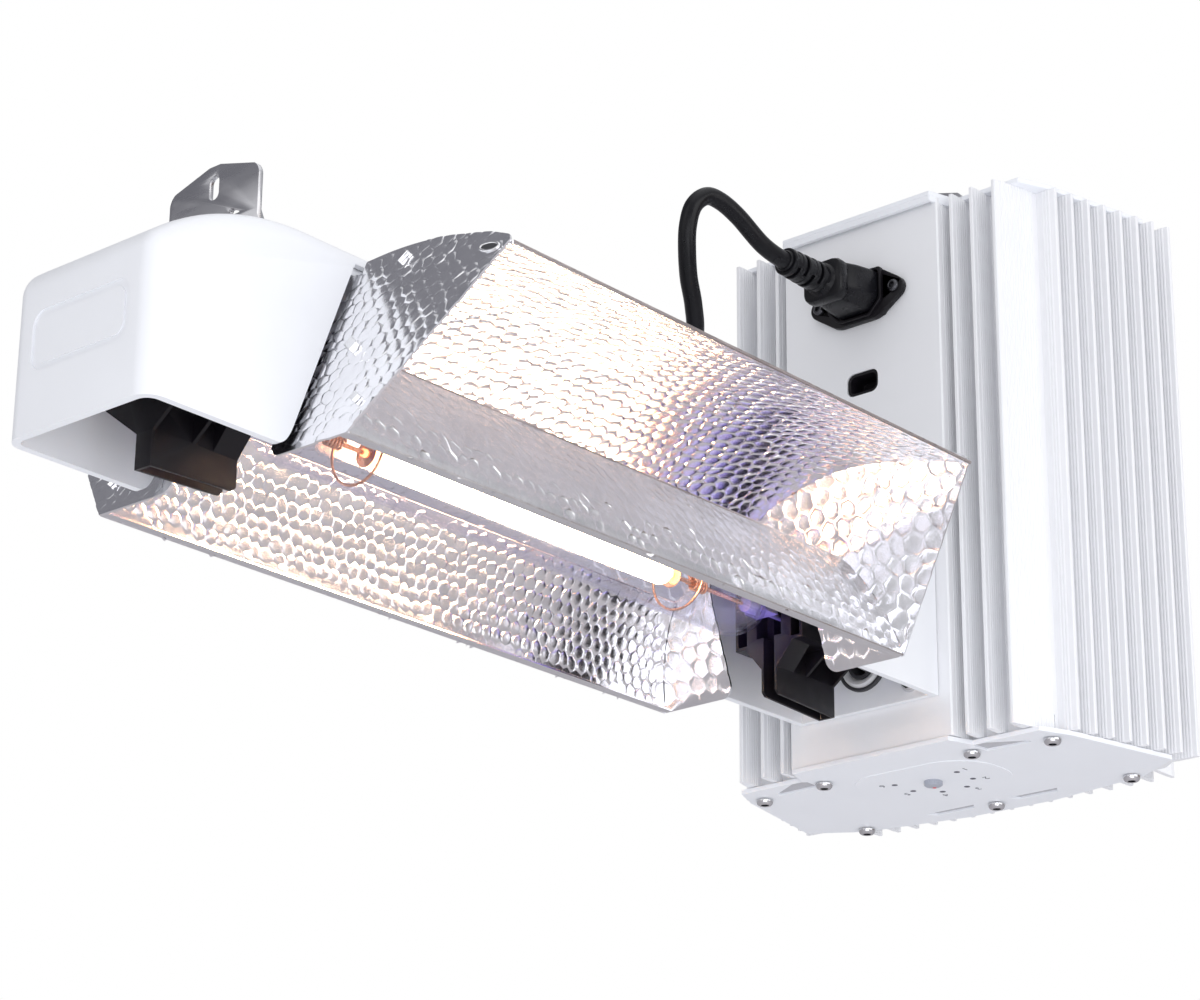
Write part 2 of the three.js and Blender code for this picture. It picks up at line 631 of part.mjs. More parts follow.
// shallow pockets pressed into the bottom cover, mirrored about its middle
const COVER_POCKETS = [
  [[224, 45], [225.5, 42.8], [234.2, 43.4], [235, 64.5], [232.8, 65], [224.2, 50]],
  [[299.6, 9], [304.4, 12], [304.4, 31], [299.6, 34]],
];
const COVER_POCKET_DEPTH = 1.2;

function bottomCover() {
  const top = BALLAST_BOTTOM - GAP;
  const plate = prism(coverPlan(FRONT_X - 1), 'z', top - COVER, top);
  const holes = COVER_SCREWS.map(([x, y]) => rod(2.3, top - 5, top + 2, 'z', [x, y, 0], 10));
  const shaftHole = rod(2, top - 5, top + 2, 'z', [KNOB_X, 0, 0], 12);
  const low = top - COVER;
  const pockets = COVER_POCKETS.flatMap((shape) => [1, -1].map((side) =>
    prism(shape.map(([x, y]) => [x, side * y]), 'z', low - 2, low + COVER_POCKET_DEPTH)));
  return cut(plate, ...holes, shaftHole, ...pockets);
}

function topCover() {
  const low = BALLAST_TOP + GAP;
  const plan = coverPlan(FRONT_X - 3.4);
  const plate = prism(plan, 'z', low, COVER_TOP);
  const middle = 265;
  const inside = plan.map(([x, y]) => [middle + (x - middle) * 0.955, y * 0.965]);
  const recess = prism(inside, 'z', low - 1, low + COVER_SKIRT);
  const holes = COVER_SCREWS.map(([x, y]) => rod(2.3, low - 5, COVER_TOP + 2, 'z', [x, y, 0], 10));
  return cut(plate, recess, ...holes, ...boltHoles(BALLAST_HANGER_X, COVER_TOP));
}

add('ballast_housing', ballastHousing(), whitePaint);
add('bottom_cover', bottomCover(), whiteCover);
add('top_cover', topCover(), whiteCover);
COVER_SCREWS.forEach(([x, y], i) => {
  const seat = BALLAST_BOTTOM - 2 * GAP - COVER;
  add(`bottom_screw_${i + 1}`, screw('z', [x, y, 0], seat, 1, 4.4, 1.8, 10), chrome);
});
add('ballast_hanger', hanger(BALLAST_HANGER_X, BALLAST_HANGER_FOOT), zincSteel);
hangerBolts(BALLAST_HANGER_X, BALLAST_HANGER_FOOT).forEach((geometry, i) => {
  add(`ballast_hanger_bolt_${i + 1}`, geometry, chrome);
});

// ================================================================ ballast fittings
// inlet outline: a rectangle whose two lower corners are cut, centred on the inlet
function inletOutline(halfWidth, halfHeight) {
  const corner = 6;
  return [
    [-halfWidth, INLET_Z + halfHeight], [-halfWidth, INLET_Z - halfHeight + corner],
    [corner - halfWidth, INLET_Z - halfHeight], [halfWidth - corner, INLET_Z - halfHeight],
    [halfWidth, INLET_Z - halfHeight + corner], [halfWidth, INLET_Z + halfHeight],
  ];
}

function powerInlet() {
  const flangeHalf = mirrored([[11, -11.8], [24.6, -2.6], [24.6, 2.6], [11, 11.8]]);
  const flange = prism(flangeHalf.map(([y, z]) => [y, z + INLET_Z]), 'x',
    FRONT_X - GAP - INLET_FLANGE, FRONT_X - GAP);
  const shell = prism(inletOutline(13.8, 10.2), 'x', FRONT_X - 1, FRONT_X + INLET_DEPTH);
  const socket = prism(inletOutline(12.2, 8.4), 'x', FRONT_X - 10, FRONT_X + INLET_DEPTH - 6);
  const holes = INLET_SCREW_Y.map((y) => rod(1.9, 200, 222, 'x', [0, y, INLET_Z], 10));
  const pinHoles = INLET_PINS.map(([y, z]) =>
    box(FRONT_X, FRONT_X + 40, y - 2.3, y + 2.3, z - 1.3, z + 1.3));
  return cut(join(flange, shell), socket, ...holes, ...pinHoles);
}

add('power_inlet', powerInlet(), blackPlastic);
INLET_PINS.forEach(([y, z], i) => {
  const blade = box(FRONT_X + 1, FRONT_X + INLET_DEPTH + 6, y - 2, y + 2, z - 1, z + 1);
  add(`inlet_pin_${i + 1}`, blade, brass);
});
INLET_SCREW_Y.forEach((y, i) => {
  const seat = FRONT_X - 2 * GAP - INLET_FLANGE;
  add(`inlet_screw_${i + 1}`, screw('x', [0, y, INLET_Z], seat, 1, 2.9, 1.5, 8), chrome);
});

function controlPort() {
  const outer = roundedRect(-8.2, PORT_Z - 5.2, 8.2, PORT_Z + 5.2, 3.6);
  const inner = roundedRect(-6.8, PORT_Z - 3.8, 6.8, PORT_Z + 3.8, 2.4);
  return cut(prism(outer, 'x', FRONT_X + 0.6, FRONT_X + 14), prism(inner, 'x', FRONT_X - 5, FRONT_X + 10));
}
add('control_port', controlPort(), blackPlastic);

// rubber grommet with a groove that holds the housing wall and the ballast wall
const grommetProfile = [
  [5.2, -6], [11.8, -6], [11.8, -3.4 - GAP], [8, -3.4 - GAP], [8, WALL + GAP], [10.6, WALL + GAP],
  [10.6, WALL + 3], [5.2, WALL + 3], [5.2, -6],
];
add('lead_grommet', turned(grommetProfile, 'x', [FRONT_X, 0, GROMMET_Z], 28), whiteRubber);

// ================================================================ output selector
function outputKnob() {
  const bottom = COVER_UNDERSIDE - KNOB_HEIGHT;
  const cap = rod(KNOB_RADIUS, bottom, COVER_UNDERSIDE - GAP, 'z', [KNOB_X, 0, 0], 24);
  const shaft = rod(1.6, COVER_UNDERSIDE - 1, BALLAST_BOTTOM + 6, 'z', [KNOB_X, 0, 0], 12);
  const pointer = box(KNOB_X, KNOB_X + KNOB_RADIUS + 1, -0.7, 0.7, bottom - 1, bottom + 0.6);
  const turn = (geometry) => geometry.translate(-KNOB_X, 0, 0).rotateZ(SELECTOR_STEP / 2)
    .translate(KNOB_X, 0, 0);
  return cut(join(cap, shaft), turn(pointer));
}

function rotarySwitch() {
  const body = box(KNOB_X - 8, KNOB_X + 8, -8, 8, BALLAST_BOTTOM + GAP, BALLAST_BOTTOM + 11);
  const bore = rod(1.9, BALLAST_BOTTOM - 2, BALLAST_BOTTOM + 7, 'z', [KNOB_X, 0, 0], 12);
  return cut(body, bore);
}
add('output_knob', outputKnob(), greyPlastic);
add('rotary_switch', rotarySwitch(), blackPlastic);

// ================================================================ ballast electronics
add('circuit_board', box(BOARD_X, BOARD_X + 1.6, -66, 66, 6, 205), boardGreen);

// two E-shaped core halves around a winding, standing on the board
function chokeCore(z, halfWidth, height) {
  const face = BOARD_X - GAP;
  const core = box(face - 34, face, -halfWidth, halfWidth, z, z + height);
  const windows = [-1, 1].map((s) => box(
    face - 29, face - 5, s * halfWidth * 0.58 - 5.5, s * halfWidth * 0.58 + 5.5, z - 1, z + height + 1));
  return cut(core, ...windows);
}

function winding(z, halfWidth, height) {
  const face = BOARD_X - GAP;
  const inner = halfWidth * 0.58 - 5.5;
  const wrap = box(face - 28.4, face - 5.6, -inner - 4.8, inner + 4.8, z - 6, z + height + 6);
  const leg = box(face - 40, face + 5, -inner - GAP, inner + GAP, z - GAP, z + height + GAP);
  return cut(wrap, leg);
}

add('choke_core', chokeCore(34, 24, 22), ferrite);
add('choke_winding', winding(34, 24, 22), copper);
add('transformer_core', chokeCore(84, 21, 20), ferrite);
add('transformer_winding', winding(84, 21, 20), copper);
add('bulk_capacitor', rod(13, BOARD_X - 36, BOARD_X - GAP, 'x', [0, -46, 60], 20), capacitorSleeve);

// ================================================================ lamp leads
const nearLead = [
  [-172, 8, 70], [-167, 8, 72.8], [-156, 8, 74.8], [-140, 8, 75.4],
  [0, 8, 75.4], [150, 8, 75.4], [180, 8, 75.2], [190, 8, 72], [195, 7, 62], [198, 4, 40],
  [202, 2.4, 26], [210, 2.4, 23], [224, 2.4, 23], [234, 2.4, 26],
];
const farLead = [
  [FAR_HOLDER_X + HOLDER_LENGTH + GAP, -8, 40], [190, -8, 40], [195, -6, 34], [202, -2.6, 25],
  [210, -2.4, 23], [224, -2.4, 23], [234, -2.4, 26],
];
add('near_lamp_lead', tube(nearLead, LEAD_RADIUS, 48, 6), whiteRubber);
add('far_lamp_lead', tube(farLead, LEAD_RADIUS, 18, 6), whiteRubber);

// ================================================================ power cord
// moulded cord connector: mating nose, body, collar and ribbed strain relief along -X
function cordConnector() {
  const nose = prism(inletOutline(11.8, 8), 'x', 203, CONNECTOR_FACE);
  const slots = INLET_PINS.map(([y, z]) =>
    box(FRONT_X - 1, 260, y - 2.3, y + 2.3, z - 1.3, z + 1.3));
  const body = prism(inletOutline(12.4, 8.8), 'x', 190, 204);
  const collar = prism(roundedRect(-10.5, INLET_Z - 9.4, 10.5, INLET_Z + 9.4, 4), 'x', 184, 190.5);
  const relief = rod(6.6, 158, 185, 'x', [0, 0, INLET_Z], 20);
  const grooves = [];
  for (let x = 162; x < 182; x += 5.4) {
    const ring = [[5.2, x], [9, x], [9, x + 1.8], [5.2, x + 1.8], [5.2, x]];
    grooves.push(turned(ring, 'x', [0, 0, INLET_Z], 20));
  }
  const bore = rod(CORD_RADIUS + 0.6, 150, 166, 'x', [0, 0, INLET_Z], 16);
  return cut(join(nose, body, collar, relief), ...slots, ...grooves, bore);
}

const cordPath = [
  [165.5, 0, INLET_Z], [156, 0, INLET_Z], [143, 0, 192], [128, 0.5, 200.2], [117.6, 1.5, 203.5],
  [109.9, 3, 203.2], [104, 5, 196.8], [104, 8, 188.4], [107.1, 11, 179.6], [113, 15, 170.5],
  [120.9, 19, 161.9], [128, 24, 152], [132, 32, 138], [129, 44, 118], [115, 57, 98], [96, 64, 88],
  [78, 66.5, 84], [62, 67, 82.6],
];
add('cord_connector', cordConnector(), blackRubber);
add('power_cord', tube(cordPath, CORD_RADIUS, 40, 10), blackRubber);

// wall plug at the free end of the cord, lying on the far wing of the reflector
function mainsPlug() {
  const profile = [[0, -38], [7.6, -38], [9.2, -34], [9.2, -16], [6.3, -10], [4.7, 0], [0, 0]];
  const body = turned(profile, 'x', [PLUG.x, PLUG.y, PLUG.z + 1.6], 20);
  const sockets = PLUG_PINS.map(([y, z]) =>
    box(0, PLUG.x - 28, PLUG.y + y - 1.1, PLUG.y + y + 1.1, PLUG.z + z - 2.6, PLUG.z + z + 2.6));
  return cut(body, ...sockets);
}
add('mains_plug', mainsPlug(), blackRubber);
PLUG_PINS.forEach(([y, z], i) => {
  const tip = i === 2 ? PLUG.x - 58 : PLUG.x - 55;
  const across = [PLUG.y + y - 0.8, PLUG.y + y + 0.8];
  const blade = box(tip, PLUG.x - 29, ...across, PLUG.z + z - 2.3, PLUG.z + z + 2.3);
  add(`mains_blade_${i + 1}`, blade, brass);
});

// the origin of the finished part: the middle of its footprint, at its lowest point
const whole = new THREE.Box3().setFromObject(growLamp);
const middle = whole.getCenter(new THREE.Vector3());
growLamp.position.set(-middle.x, -middle.y, -whole.min.z);

export default growLamp;
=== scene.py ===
"""Looks of the grow lamp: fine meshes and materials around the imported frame, stage and camera."""
import itertools
import json
import math
import random

import bmesh
import bpy
import numpy as np
from mathutils import Matrix, Vector


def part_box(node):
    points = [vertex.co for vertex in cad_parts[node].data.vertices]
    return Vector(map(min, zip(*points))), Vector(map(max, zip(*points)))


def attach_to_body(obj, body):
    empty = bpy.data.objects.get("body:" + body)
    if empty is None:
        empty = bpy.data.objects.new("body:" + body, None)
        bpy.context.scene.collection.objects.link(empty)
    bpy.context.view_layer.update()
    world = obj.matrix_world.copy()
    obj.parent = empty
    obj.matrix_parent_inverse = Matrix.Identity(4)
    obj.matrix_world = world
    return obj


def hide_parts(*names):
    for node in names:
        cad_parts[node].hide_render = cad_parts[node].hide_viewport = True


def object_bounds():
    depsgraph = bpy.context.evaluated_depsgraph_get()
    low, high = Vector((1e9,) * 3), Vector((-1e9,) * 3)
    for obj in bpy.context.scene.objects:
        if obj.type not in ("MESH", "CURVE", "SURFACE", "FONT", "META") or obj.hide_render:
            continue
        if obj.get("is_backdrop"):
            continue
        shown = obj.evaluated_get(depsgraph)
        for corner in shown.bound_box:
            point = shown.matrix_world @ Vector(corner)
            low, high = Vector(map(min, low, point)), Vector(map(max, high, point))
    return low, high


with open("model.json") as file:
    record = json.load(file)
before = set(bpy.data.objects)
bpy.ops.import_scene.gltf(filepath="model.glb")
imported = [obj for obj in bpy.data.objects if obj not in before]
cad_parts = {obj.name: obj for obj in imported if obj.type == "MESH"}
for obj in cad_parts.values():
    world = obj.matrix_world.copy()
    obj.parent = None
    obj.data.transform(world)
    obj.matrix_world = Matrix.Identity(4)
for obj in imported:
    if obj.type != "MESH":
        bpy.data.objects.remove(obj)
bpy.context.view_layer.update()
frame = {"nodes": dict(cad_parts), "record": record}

# ---- frame and driving dimensions
# Millimetres from the middle of the reflector's light opening, level with its lower lips:
# +X along the lamp from the end cap to the ballast, +Y across it, +Z up.
MM = 0.001
sheet_low, sheet_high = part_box("top_reflector")
ORIGIN = Vector(((sheet_low.x + sheet_high.x) / 2, 0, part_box("left_baffle")[0].z))


def span(node):
    """Lowest and highest corner of a CAD node, in mm from ORIGIN."""
    return tuple((corner - ORIGIN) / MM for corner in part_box(node))


SLANT = math.radians(20.36)          # lean of the end plates
SLOPE_STRETCH = 1 / math.cos(SLANT)  # length up an end plate for one unit of height
REFLECTOR_HALF = 153.2               # from the middle to an end plate, level with the lips
LIP_Y = span("left_baffle")[1].y
SHEET = 0.9
WING = [(111.3, 61.8), (95.7, 66.4), (79.7, 69.9), (68, 71.6), (57.3, 72.4), (47, 72.2), (37, 71),
        (28.5, 69.6), (19.9, 67.6), (13.6, 65.4), (7.6, 62.7), (3.4, 61.1), (0, 60.6)]
CELL = 6.2                           # size of one hammered pebble
PEBBLE = 0.40                        # how far a pebble stands out of its border

BULB_LOW, BULB_HIGH = span("bulb_envelope")
LAMP_Z = (BULB_LOW.z + BULB_HIGH.z) / 2
BULB_RADIUS = (BULB_HIGH.z - BULB_LOW.z) / 2
BULB_HALF = BULB_HIGH.x
ARC_HALF = 80
ARC_RADIUS = 5.4
ARC_TIP = 6                          # lead at each end of the arc tube
ARC_POWER = 62.0                     # glow of the arc's middle
SEAL_X = 120                         # where the lamp's violet end glow sits

CAP_LOW, CAP_HIGH = span("end_cap")
BODY_HALF = CAP_HIGH.y
BODY_TOP = CAP_HIGH.z
BODY_CORNER = 9
BODY_WALL = 3
CAP_ROUNDING = 7.5
HOUSING_RIM = 3.1
HEEL = 8                             # rounding where a casing's slanted edge meets its rim
ROOF_END = 118
ROOF_LIP_Z = 77
EDGE_OFFSET = 2.8                    # gap between a casing's slanted edge and the end plate

FRONT_X = span("ballast_housing")[0].x
BALLAST_BOTTOM = span("ballast_housing")[0].z
COVER_TOP = span("top_cover")[1].z
COVER_UNDERSIDE = span("bottom_cover")[0].z
COVER_PLATE = 2.4
FACE_HALF = 41.5
FIN = 1.9
INLET_Z = 189.8
PORT_Z = 151
GROMMET_Z = 23
LEAD_BORE = 8.4
CORD_RADIUS = 3.8
CORD_PATH = [
    (165.5, 0, 189.8), (156, 0, 189.8), (143, 0, 192), (128, 0.5, 199.2), (117.6, 1.5, 202.8),
    (109.9, 3, 202.8), (104, 5, 196.8), (104, 8, 188.4), (107.1, 11, 179.6), (113, 15, 170.5),
    (120.9, 19, 161.9), (128, 24, 152), (132, 32, 138), (129, 44, 118), (115, 57, 98),
    (96, 64, 88), (78, 66.5, 84), (62, 67, 82.6),
]
KNOB_LOW, KNOB_HIGH = span("output_knob")
KNOB_X = (KNOB_LOW.x + KNOB_HIGH.x) / 2
SELECTOR_STEP = 43.6                 # degrees between two output settings
DIAL_RISE = 0.3

WORLD_LEVEL = 0.80
# dark parts of the room that only mirrors see: direction, cosine of the edge, colour
DARK_PATCHES = [((-0.3, 0.6, 0.73), 0.72, (0.26, 0.26, 0.29)),
                ((0.72, -0.69, -0.12), 0.86, (0.26, 0.20, 0.18)),
                ((0.80, -0.30, 0.52), 0.95, (0.50, 0.51, 0.54))]


# ---- node materials
class Shader:
    """A node tree with short calls for the nodes that the materials and the room share."""

    def __init__(self, name, kind=bpy.data.materials):
        self.owner = kind.new(name)
        self.owner.use_nodes = True
        self.nodes = self.owner.node_tree.nodes
        self.surface = self.nodes.get("Principled BSDF")

    def feed(self, node, inputs):
        """Gives each named or numbered input of a node a value or another node's output."""
        for key, value in inputs.items():
            socket = node.inputs[key]
            if isinstance(value, bpy.types.NodeSocket):
                self.owner.node_tree.links.new(value, socket)
            elif socket.type == "RGBA":
                socket.default_value = (*value, 1)
            else:
                socket.default_value = value

    def node(self, kind, inputs, **settings):
        made = self.nodes.new("ShaderNode" + kind)
        for key, value in settings.items():
            setattr(made, key, value)
        self.feed(made, inputs)
        return made

    def math(self, operation, value, other=0.0):
        return self.node("Math", {0: value, 1: other}, operation=operation).outputs["Value"]

    def noise(self, scale, detail=3.0, stretch=(1, 1, 1)):
        """Noise over the object, `scale` waves per metre, drawn out along axes of low stretch."""
        where = self.node("TexCoord", {}).outputs["Object"]
        mapped = self.node("Mapping", {"Vector": where, "Scale": stretch}).outputs["Vector"]
        waves = {"Vector": mapped, "Scale": scale, "Detail": detail}
        return self.node("TexNoise", waves).outputs["Fac"]

    def ramp(self, value, low, high, start=0.3, end=0.7):
        """Maps value from start..end to low..high."""
        limits = {"From Min": start, "From Max": end, "To Min": low, "To Max": high}
        return self.node("MapRange", {"Value": value, **limits}).outputs["Result"]

    def mix(self, factor, first, second):
        """Colour that goes from first to second with factor."""
        inputs = {"Factor": factor, "A": first, "B": second}
        return self.node("Mix", inputs, data_type="RGBA").outputs["Result"]

    def color_ramp(self, value, stops):
        """Colour that follows value from 0 to 1 through (place, colour) stops."""
        node = self.node("ValToRGB", {"Fac": value})
        elements = node.color_ramp.elements
        elements[0].color = (*stops[0][1], 1)
        elements[1].color = (*stops[-1][1], 1)
        for place, color in stops[1:-1]:
            elements.new(place).color = (*color, 1)
        return node.outputs["Color"]

    def bump(self, *heights):
        """Chains (value, distance in mm) heights into the surface's normal."""
        below = {}
        for value, distance in heights:
            inputs = {"Height": value, "Distance": distance * MM, "Strength": 1.0, **below}
            below = {"Normal": self.node("Bump", inputs).outputs["Normal"]}
        self.feed(self.surface, below)


def shade(color, factor):
    return tuple(min(1.0, c * factor) for c in color)


def coated(name, color, roughness, metallic=0.0, mottle=0.03, grain=(900, 0.02), spread=0.08,
           stretch=(1, 1, 1), shine=0.5):
    """Even coated or moulded surface: slight mottle, uneven gloss and a fine grain."""
    shader = Shader(name)
    cloud = shader.ramp(shader.noise(38, stretch=stretch), 0, 1)
    patch = shader.noise(170, stretch=stretch)
    shader.feed(shader.surface, {
        "Metallic": metallic,
        "Specular IOR Level": shine,
        "Base Color": shader.mix(cloud, shade(color, 1 - mottle), shade(color, 1 + mottle)),
        "Roughness": shader.ramp(patch, roughness - spread, roughness + spread),
    })
    shader.bump((shader.noise(grain[0], 2.0, stretch), grain[1]))
    return shader.owner


def hammered_aluminium():
    """Bright anodised sheet: rolled streaks and small ripples over the pebbles of the mesh."""
    shader = Shader("hammered_aluminium")
    cloud = shader.ramp(shader.noise(60), 0, 1)
    streak = shader.noise(500, 2.0, (0.08, 1, 1))
    shader.feed(shader.surface, {
        "Metallic": 1.0,
        "Base Color": shader.mix(cloud, (0.88, 0.88, 0.90), (0.95, 0.95, 0.97)),
        "Roughness": shader.ramp(streak, 0.14, 0.25),
    })
    shader.bump((shader.noise(330, 2.0), 0.07), (streak, 0.01))
    return shader.owner


def clear_quartz():
    """Clear wall: see-through face on, brighter and mirror-like towards its outline."""
    shader = Shader("clear_quartz")
    ripple = shader.ramp(shader.noise(45, 2.0, (0.3, 1, 1)), 0.05, 0.16)
    facing = shader.node("LayerWeight", {"Blend": 0.5}).outputs["Facing"]
    amount = shader.ramp(shader.math("POWER", facing, 4.0), 0.04, 0.55, 0.0, 1.0)
    clear = shader.node("BsdfTransparent", {"Color": (0.985, 0.985, 1.0)})
    gloss = shader.node("BsdfGlossy", {"Color": (0.85, 0.85, 1.0), "Roughness": ripple})
    both = shader.node("MixShader", {"Fac": amount, 1: clear.outputs[0], 2: gloss.outputs[0]})
    shader.feed(shader.nodes["Material Output"], {"Surface": both.outputs[0]})
    shader.nodes.remove(shader.surface)
    return shader.owner


def glowing_arc():
    """Lit alumina tube: white hot along its middle, yellow and then orange at both ends."""
    shader = Shader("arc_glow")
    where = shader.node("TexCoord", {}).outputs["Object"]
    x = shader.node("SeparateXYZ", {"Vector": where}).outputs["X"]
    reach = shader.math("ABSOLUTE", shader.math("SUBTRACT", x, ORIGIN.x))
    along = shader.ramp(reach, 0, 1, 0.0, (ARC_HALF + ARC_TIP) * MM)
    shader.feed(shader.surface, {
        "Base Color": (0.9, 0.75, 0.6),
        "Emission Color": shader.color_ramp(along, [
            (0.0, (1.0, 0.68, 0.44)), (0.84, (1.0, 0.62, 0.34)), (0.92, (1.0, 0.44, 0.13)),
            (1.0, (0.9, 0.22, 0.05))]),
        "Emission Strength": shader.ramp(along, ARC_POWER, ARC_POWER * 0.05, 0.80, 0.98),
    })
    shader.bump((shader.noise(700, 2.0), 0.01))
    return shader.owner


def wire_with_painted_arc_light():
    """Nickel wire with the arc's light painted on: a warm-tinted base colour and a faint painted
    orange glow in places, though the wire gives no light of its own.
    """
    shader = Shader("arc_lit_painted_wire")
    # painted light: the warm base and the faint orange emission stand in for the arc's light
    # falling on the wire
    shader.feed(shader.surface, {
        "Metallic": 1.0,
        "Base Color": (0.62, 0.38, 0.27),
        "Emission Color": (1.0, 0.35, 0.12),
        "Emission Strength": shader.ramp(shader.noise(60), 0.0, 0.15),
        "Roughness": shader.ramp(shader.noise(300), 0.15, 0.35),
    })
    return shader.owner


white_coat = coated("white_powder_coat", (0.86, 0.872, 0.90), 0.42, mottle=0.008,
                    grain=(1400, 0.012), spread=0.05)
cover_coat = coated("cover_powder_coat", (0.90, 0.917, 0.955), 0.38, mottle=0.008,
                    grain=(1700, 0.010), spread=0.05)
# painted shade: a darker grey for the floors of the cover's shallow pockets, standing in for the
# shade inside them
painted_shade_coat = coated("pocket_floor_painted_shade", (0.50, 0.50, 0.53), 0.5)
fin_coat = coated("fin_coat", (0.88, 0.885, 0.905), 0.40, mottle=0.008, grain=(1400, 0.010),
                  spread=0.04)
hammered = hammered_aluminium()
tab_metal = coated("bright_tab", (0.93, 0.93, 0.93), 0.25, 1.0, 0.03, (900, 0.01), 0.05)
edge_metal = coated("sheet_edge", (0.66, 0.60, 0.58), 0.3, 1.0, 0.25, (300, 0.05), 0.1)
# black steel for the flange screws, and painted shade in the sockets of all screw heads
black_steel_and_socket_shade = coated("black_screw_and_painted_socket_shade", (0.10, 0.10, 0.11), 0.3, 1.0, 0.08, (1500, 0.01), 0.06)
chrome = coated("bright_zinc", (0.74, 0.745, 0.76), 0.18, 1.0, 0.05, (1500, 0.006), 0.06)
black_plastic = coated("black_moulding", (0.007, 0.006, 0.008), 0.36, mottle=0.25,
                       grain=(2600, 0.03), shine=0.28)
black_rubber = coated("black_pvc", (0.006, 0.006, 0.008), 0.30, mottle=0.2,
                      grain=(1800, 0.02), spread=0.10, shine=0.25)
grey_plastic = coated("grey_moulding", (0.42, 0.44, 0.50), 0.38, mottle=0.04, grain=(2200, 0.02))
white_rubber = coated("silicone", (0.70, 0.70, 0.71), 0.55, grain=(1500, 0.02))
# near-black: the grommet's black rubber, and painted shade for the uncut slots in the end plates
black_and_painted_hole_shade = coated("black_fill_and_painted_slot_shade", (0.05, 0.05, 0.055), 0.6, mottle=0.1, grain=(1500, 0.02))
ink = coated("grey_ink", (0.10, 0.10, 0.13), 0.5, mottle=0.05, grain=(2500, 0.005))
red_ink = coated("red_ink", (0.75, 0.03, 0.03), 0.4, mottle=0.05, grain=(2500, 0.005))
quartz = clear_quartz()
arc_glow = glowing_arc()
# support wire with the arc's light painted on as a warm tint and glow
arc_lit_painted_wire = wire_with_painted_arc_light()

SLOT_LOOK = {
    "white_paint": white_coat, "cover_paint": cover_coat, "hammered_aluminium": hammered,
    "chrome": chrome, "black_plastic": black_plastic, "black_rubber": black_rubber,
    "grey_plastic": grey_plastic, "silicone": white_rubber, "quartz": quartz,
    "arc_ceramic": arc_glow,
    "zinc_steel": coated("zinc_plate", (0.66, 0.66, 0.68), 0.30, 1.0, 0.06, (500, 0.02), 0.10,
                         (1, 0.15, 1)),
    "brass": coated("brass", (0.74, 0.56, 0.25), 0.28, 1.0, 0.05, (1200, 0.008),
                    stretch=(0.2, 1, 1)),
    "copper": coated("copper", (0.72, 0.40, 0.24), 0.32, 1.0, 0.08, (1500, 0.02), 0.10,
                     (1, 1, 0.2)),
    "ceramic": coated("pressed_quartz", (0.17, 0.16, 0.22), 0.16, mottle=0.08, grain=(700, 0.05)),
    "board": coated("solder_mask", (0.03, 0.20, 0.09), 0.35, mottle=0.12, grain=(800, 0.02)),
    "ferrite": coated("ferrite", (0.07, 0.07, 0.075), 0.65, mottle=0.15, grain=(1500, 0.05)),
    "sleeve": coated("shrink_sleeve", (0.04, 0.045, 0.14), 0.30, mottle=0.08, grain=(400, 0.02)),
}
NODE_SLOT = {part["node"]: part["material_slot"] for part in frame["record"]["subparts"]}
NODE_BODY = {node: body for body, members in frame["record"]["behaviour"]["bodies"].items()
             for node in members}


# ---- mesh helpers
def add_object(name, data):
    obj = bpy.data.objects.new(name, data)
    bpy.context.scene.collection.objects.link(obj)
    return obj


def new_object(name, verts, faces, materials, face_materials=None):
    """Object from points in mm; it isn't yet attached to a body."""
    mesh = bpy.data.meshes.new(name)
    mesh.from_pydata([ORIGIN + Vector(v) * MM for v in verts], [], faces)
    for material in materials:
        mesh.materials.append(material)
    if face_materials:
        mesh.polygons.foreach_set("material_index", face_materials)
    return add_object(name, mesh)


def tidy_mesh(obj, merge=0.002, angle=30):
    """Merges double points, makes faces point out and smooths all but sharp edges."""
    work = bmesh.new()
    work.from_mesh(obj.data)
    bmesh.ops.remove_doubles(work, verts=work.verts, dist=merge * MM)
    bmesh.ops.dissolve_degenerate(work, edges=work.edges, dist=merge * MM)
    bmesh.ops.recalc_face_normals(work, faces=work.faces)
    work.to_mesh(obj.data)
    work.free()
    smooth(obj, angle)


def smooth(obj, angle=30):
    obj.data.shade_smooth()
    obj.data.set_sharp_from_angle(angle=math.radians(angle))


def attach(obj, node, *others):
    """obj stands for CAD node (and others) and rides on that node's body."""
    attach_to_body(obj, NODE_BODY[node])
    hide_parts(node, *others)


def add_detail(obj, node):
    """obj is an extra of CAD node: it rides on the same body and replaces nothing."""
    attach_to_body(obj, NODE_BODY[node])


def final_mesh(obj):
    graph = bpy.context.evaluated_depsgraph_get()
    return bpy.data.meshes.new_from_object(obj.evaluated_get(graph))


def evaluated(obj):
    """Replaces obj's mesh by the result of its modifiers."""
    mesh = final_mesh(obj)
    obj.modifiers.clear()
    obj.data = mesh
    return obj


def boolean(base, tool, operation="DIFFERENCE"):
    modifier = base.modifiers.new("cut", "BOOLEAN")
    modifier.operation = operation
    modifier.solver = "EXACT"
    modifier.object = tool
    evaluated(base)
    bpy.data.objects.remove(tool)
    return base


def bevel(obj, width, segments=2, angle=32):
    """Rounds every sharp edge by width mm."""
    modifier = obj.modifiers.new("edges", "BEVEL")
    modifier.width = width * MM
    modifier.segments = segments
    modifier.limit_method = "ANGLE"
    modifier.angle_limit = math.radians(angle)
    modifier.miter_outer = "MITER_ARC"
    modifier.harden_normals = True
    obj.data.shade_smooth()
    return obj


PLACE = {
    "x": lambda a, b, c: (c, a, b),      # outline in (y, z), extruded along x
    "y": lambda a, b, c: (a, c, b),      # outline in (x, z), extruded along y
    "z": lambda a, b, c: (a, b, c),      # outline in (x, y), extruded along z
}


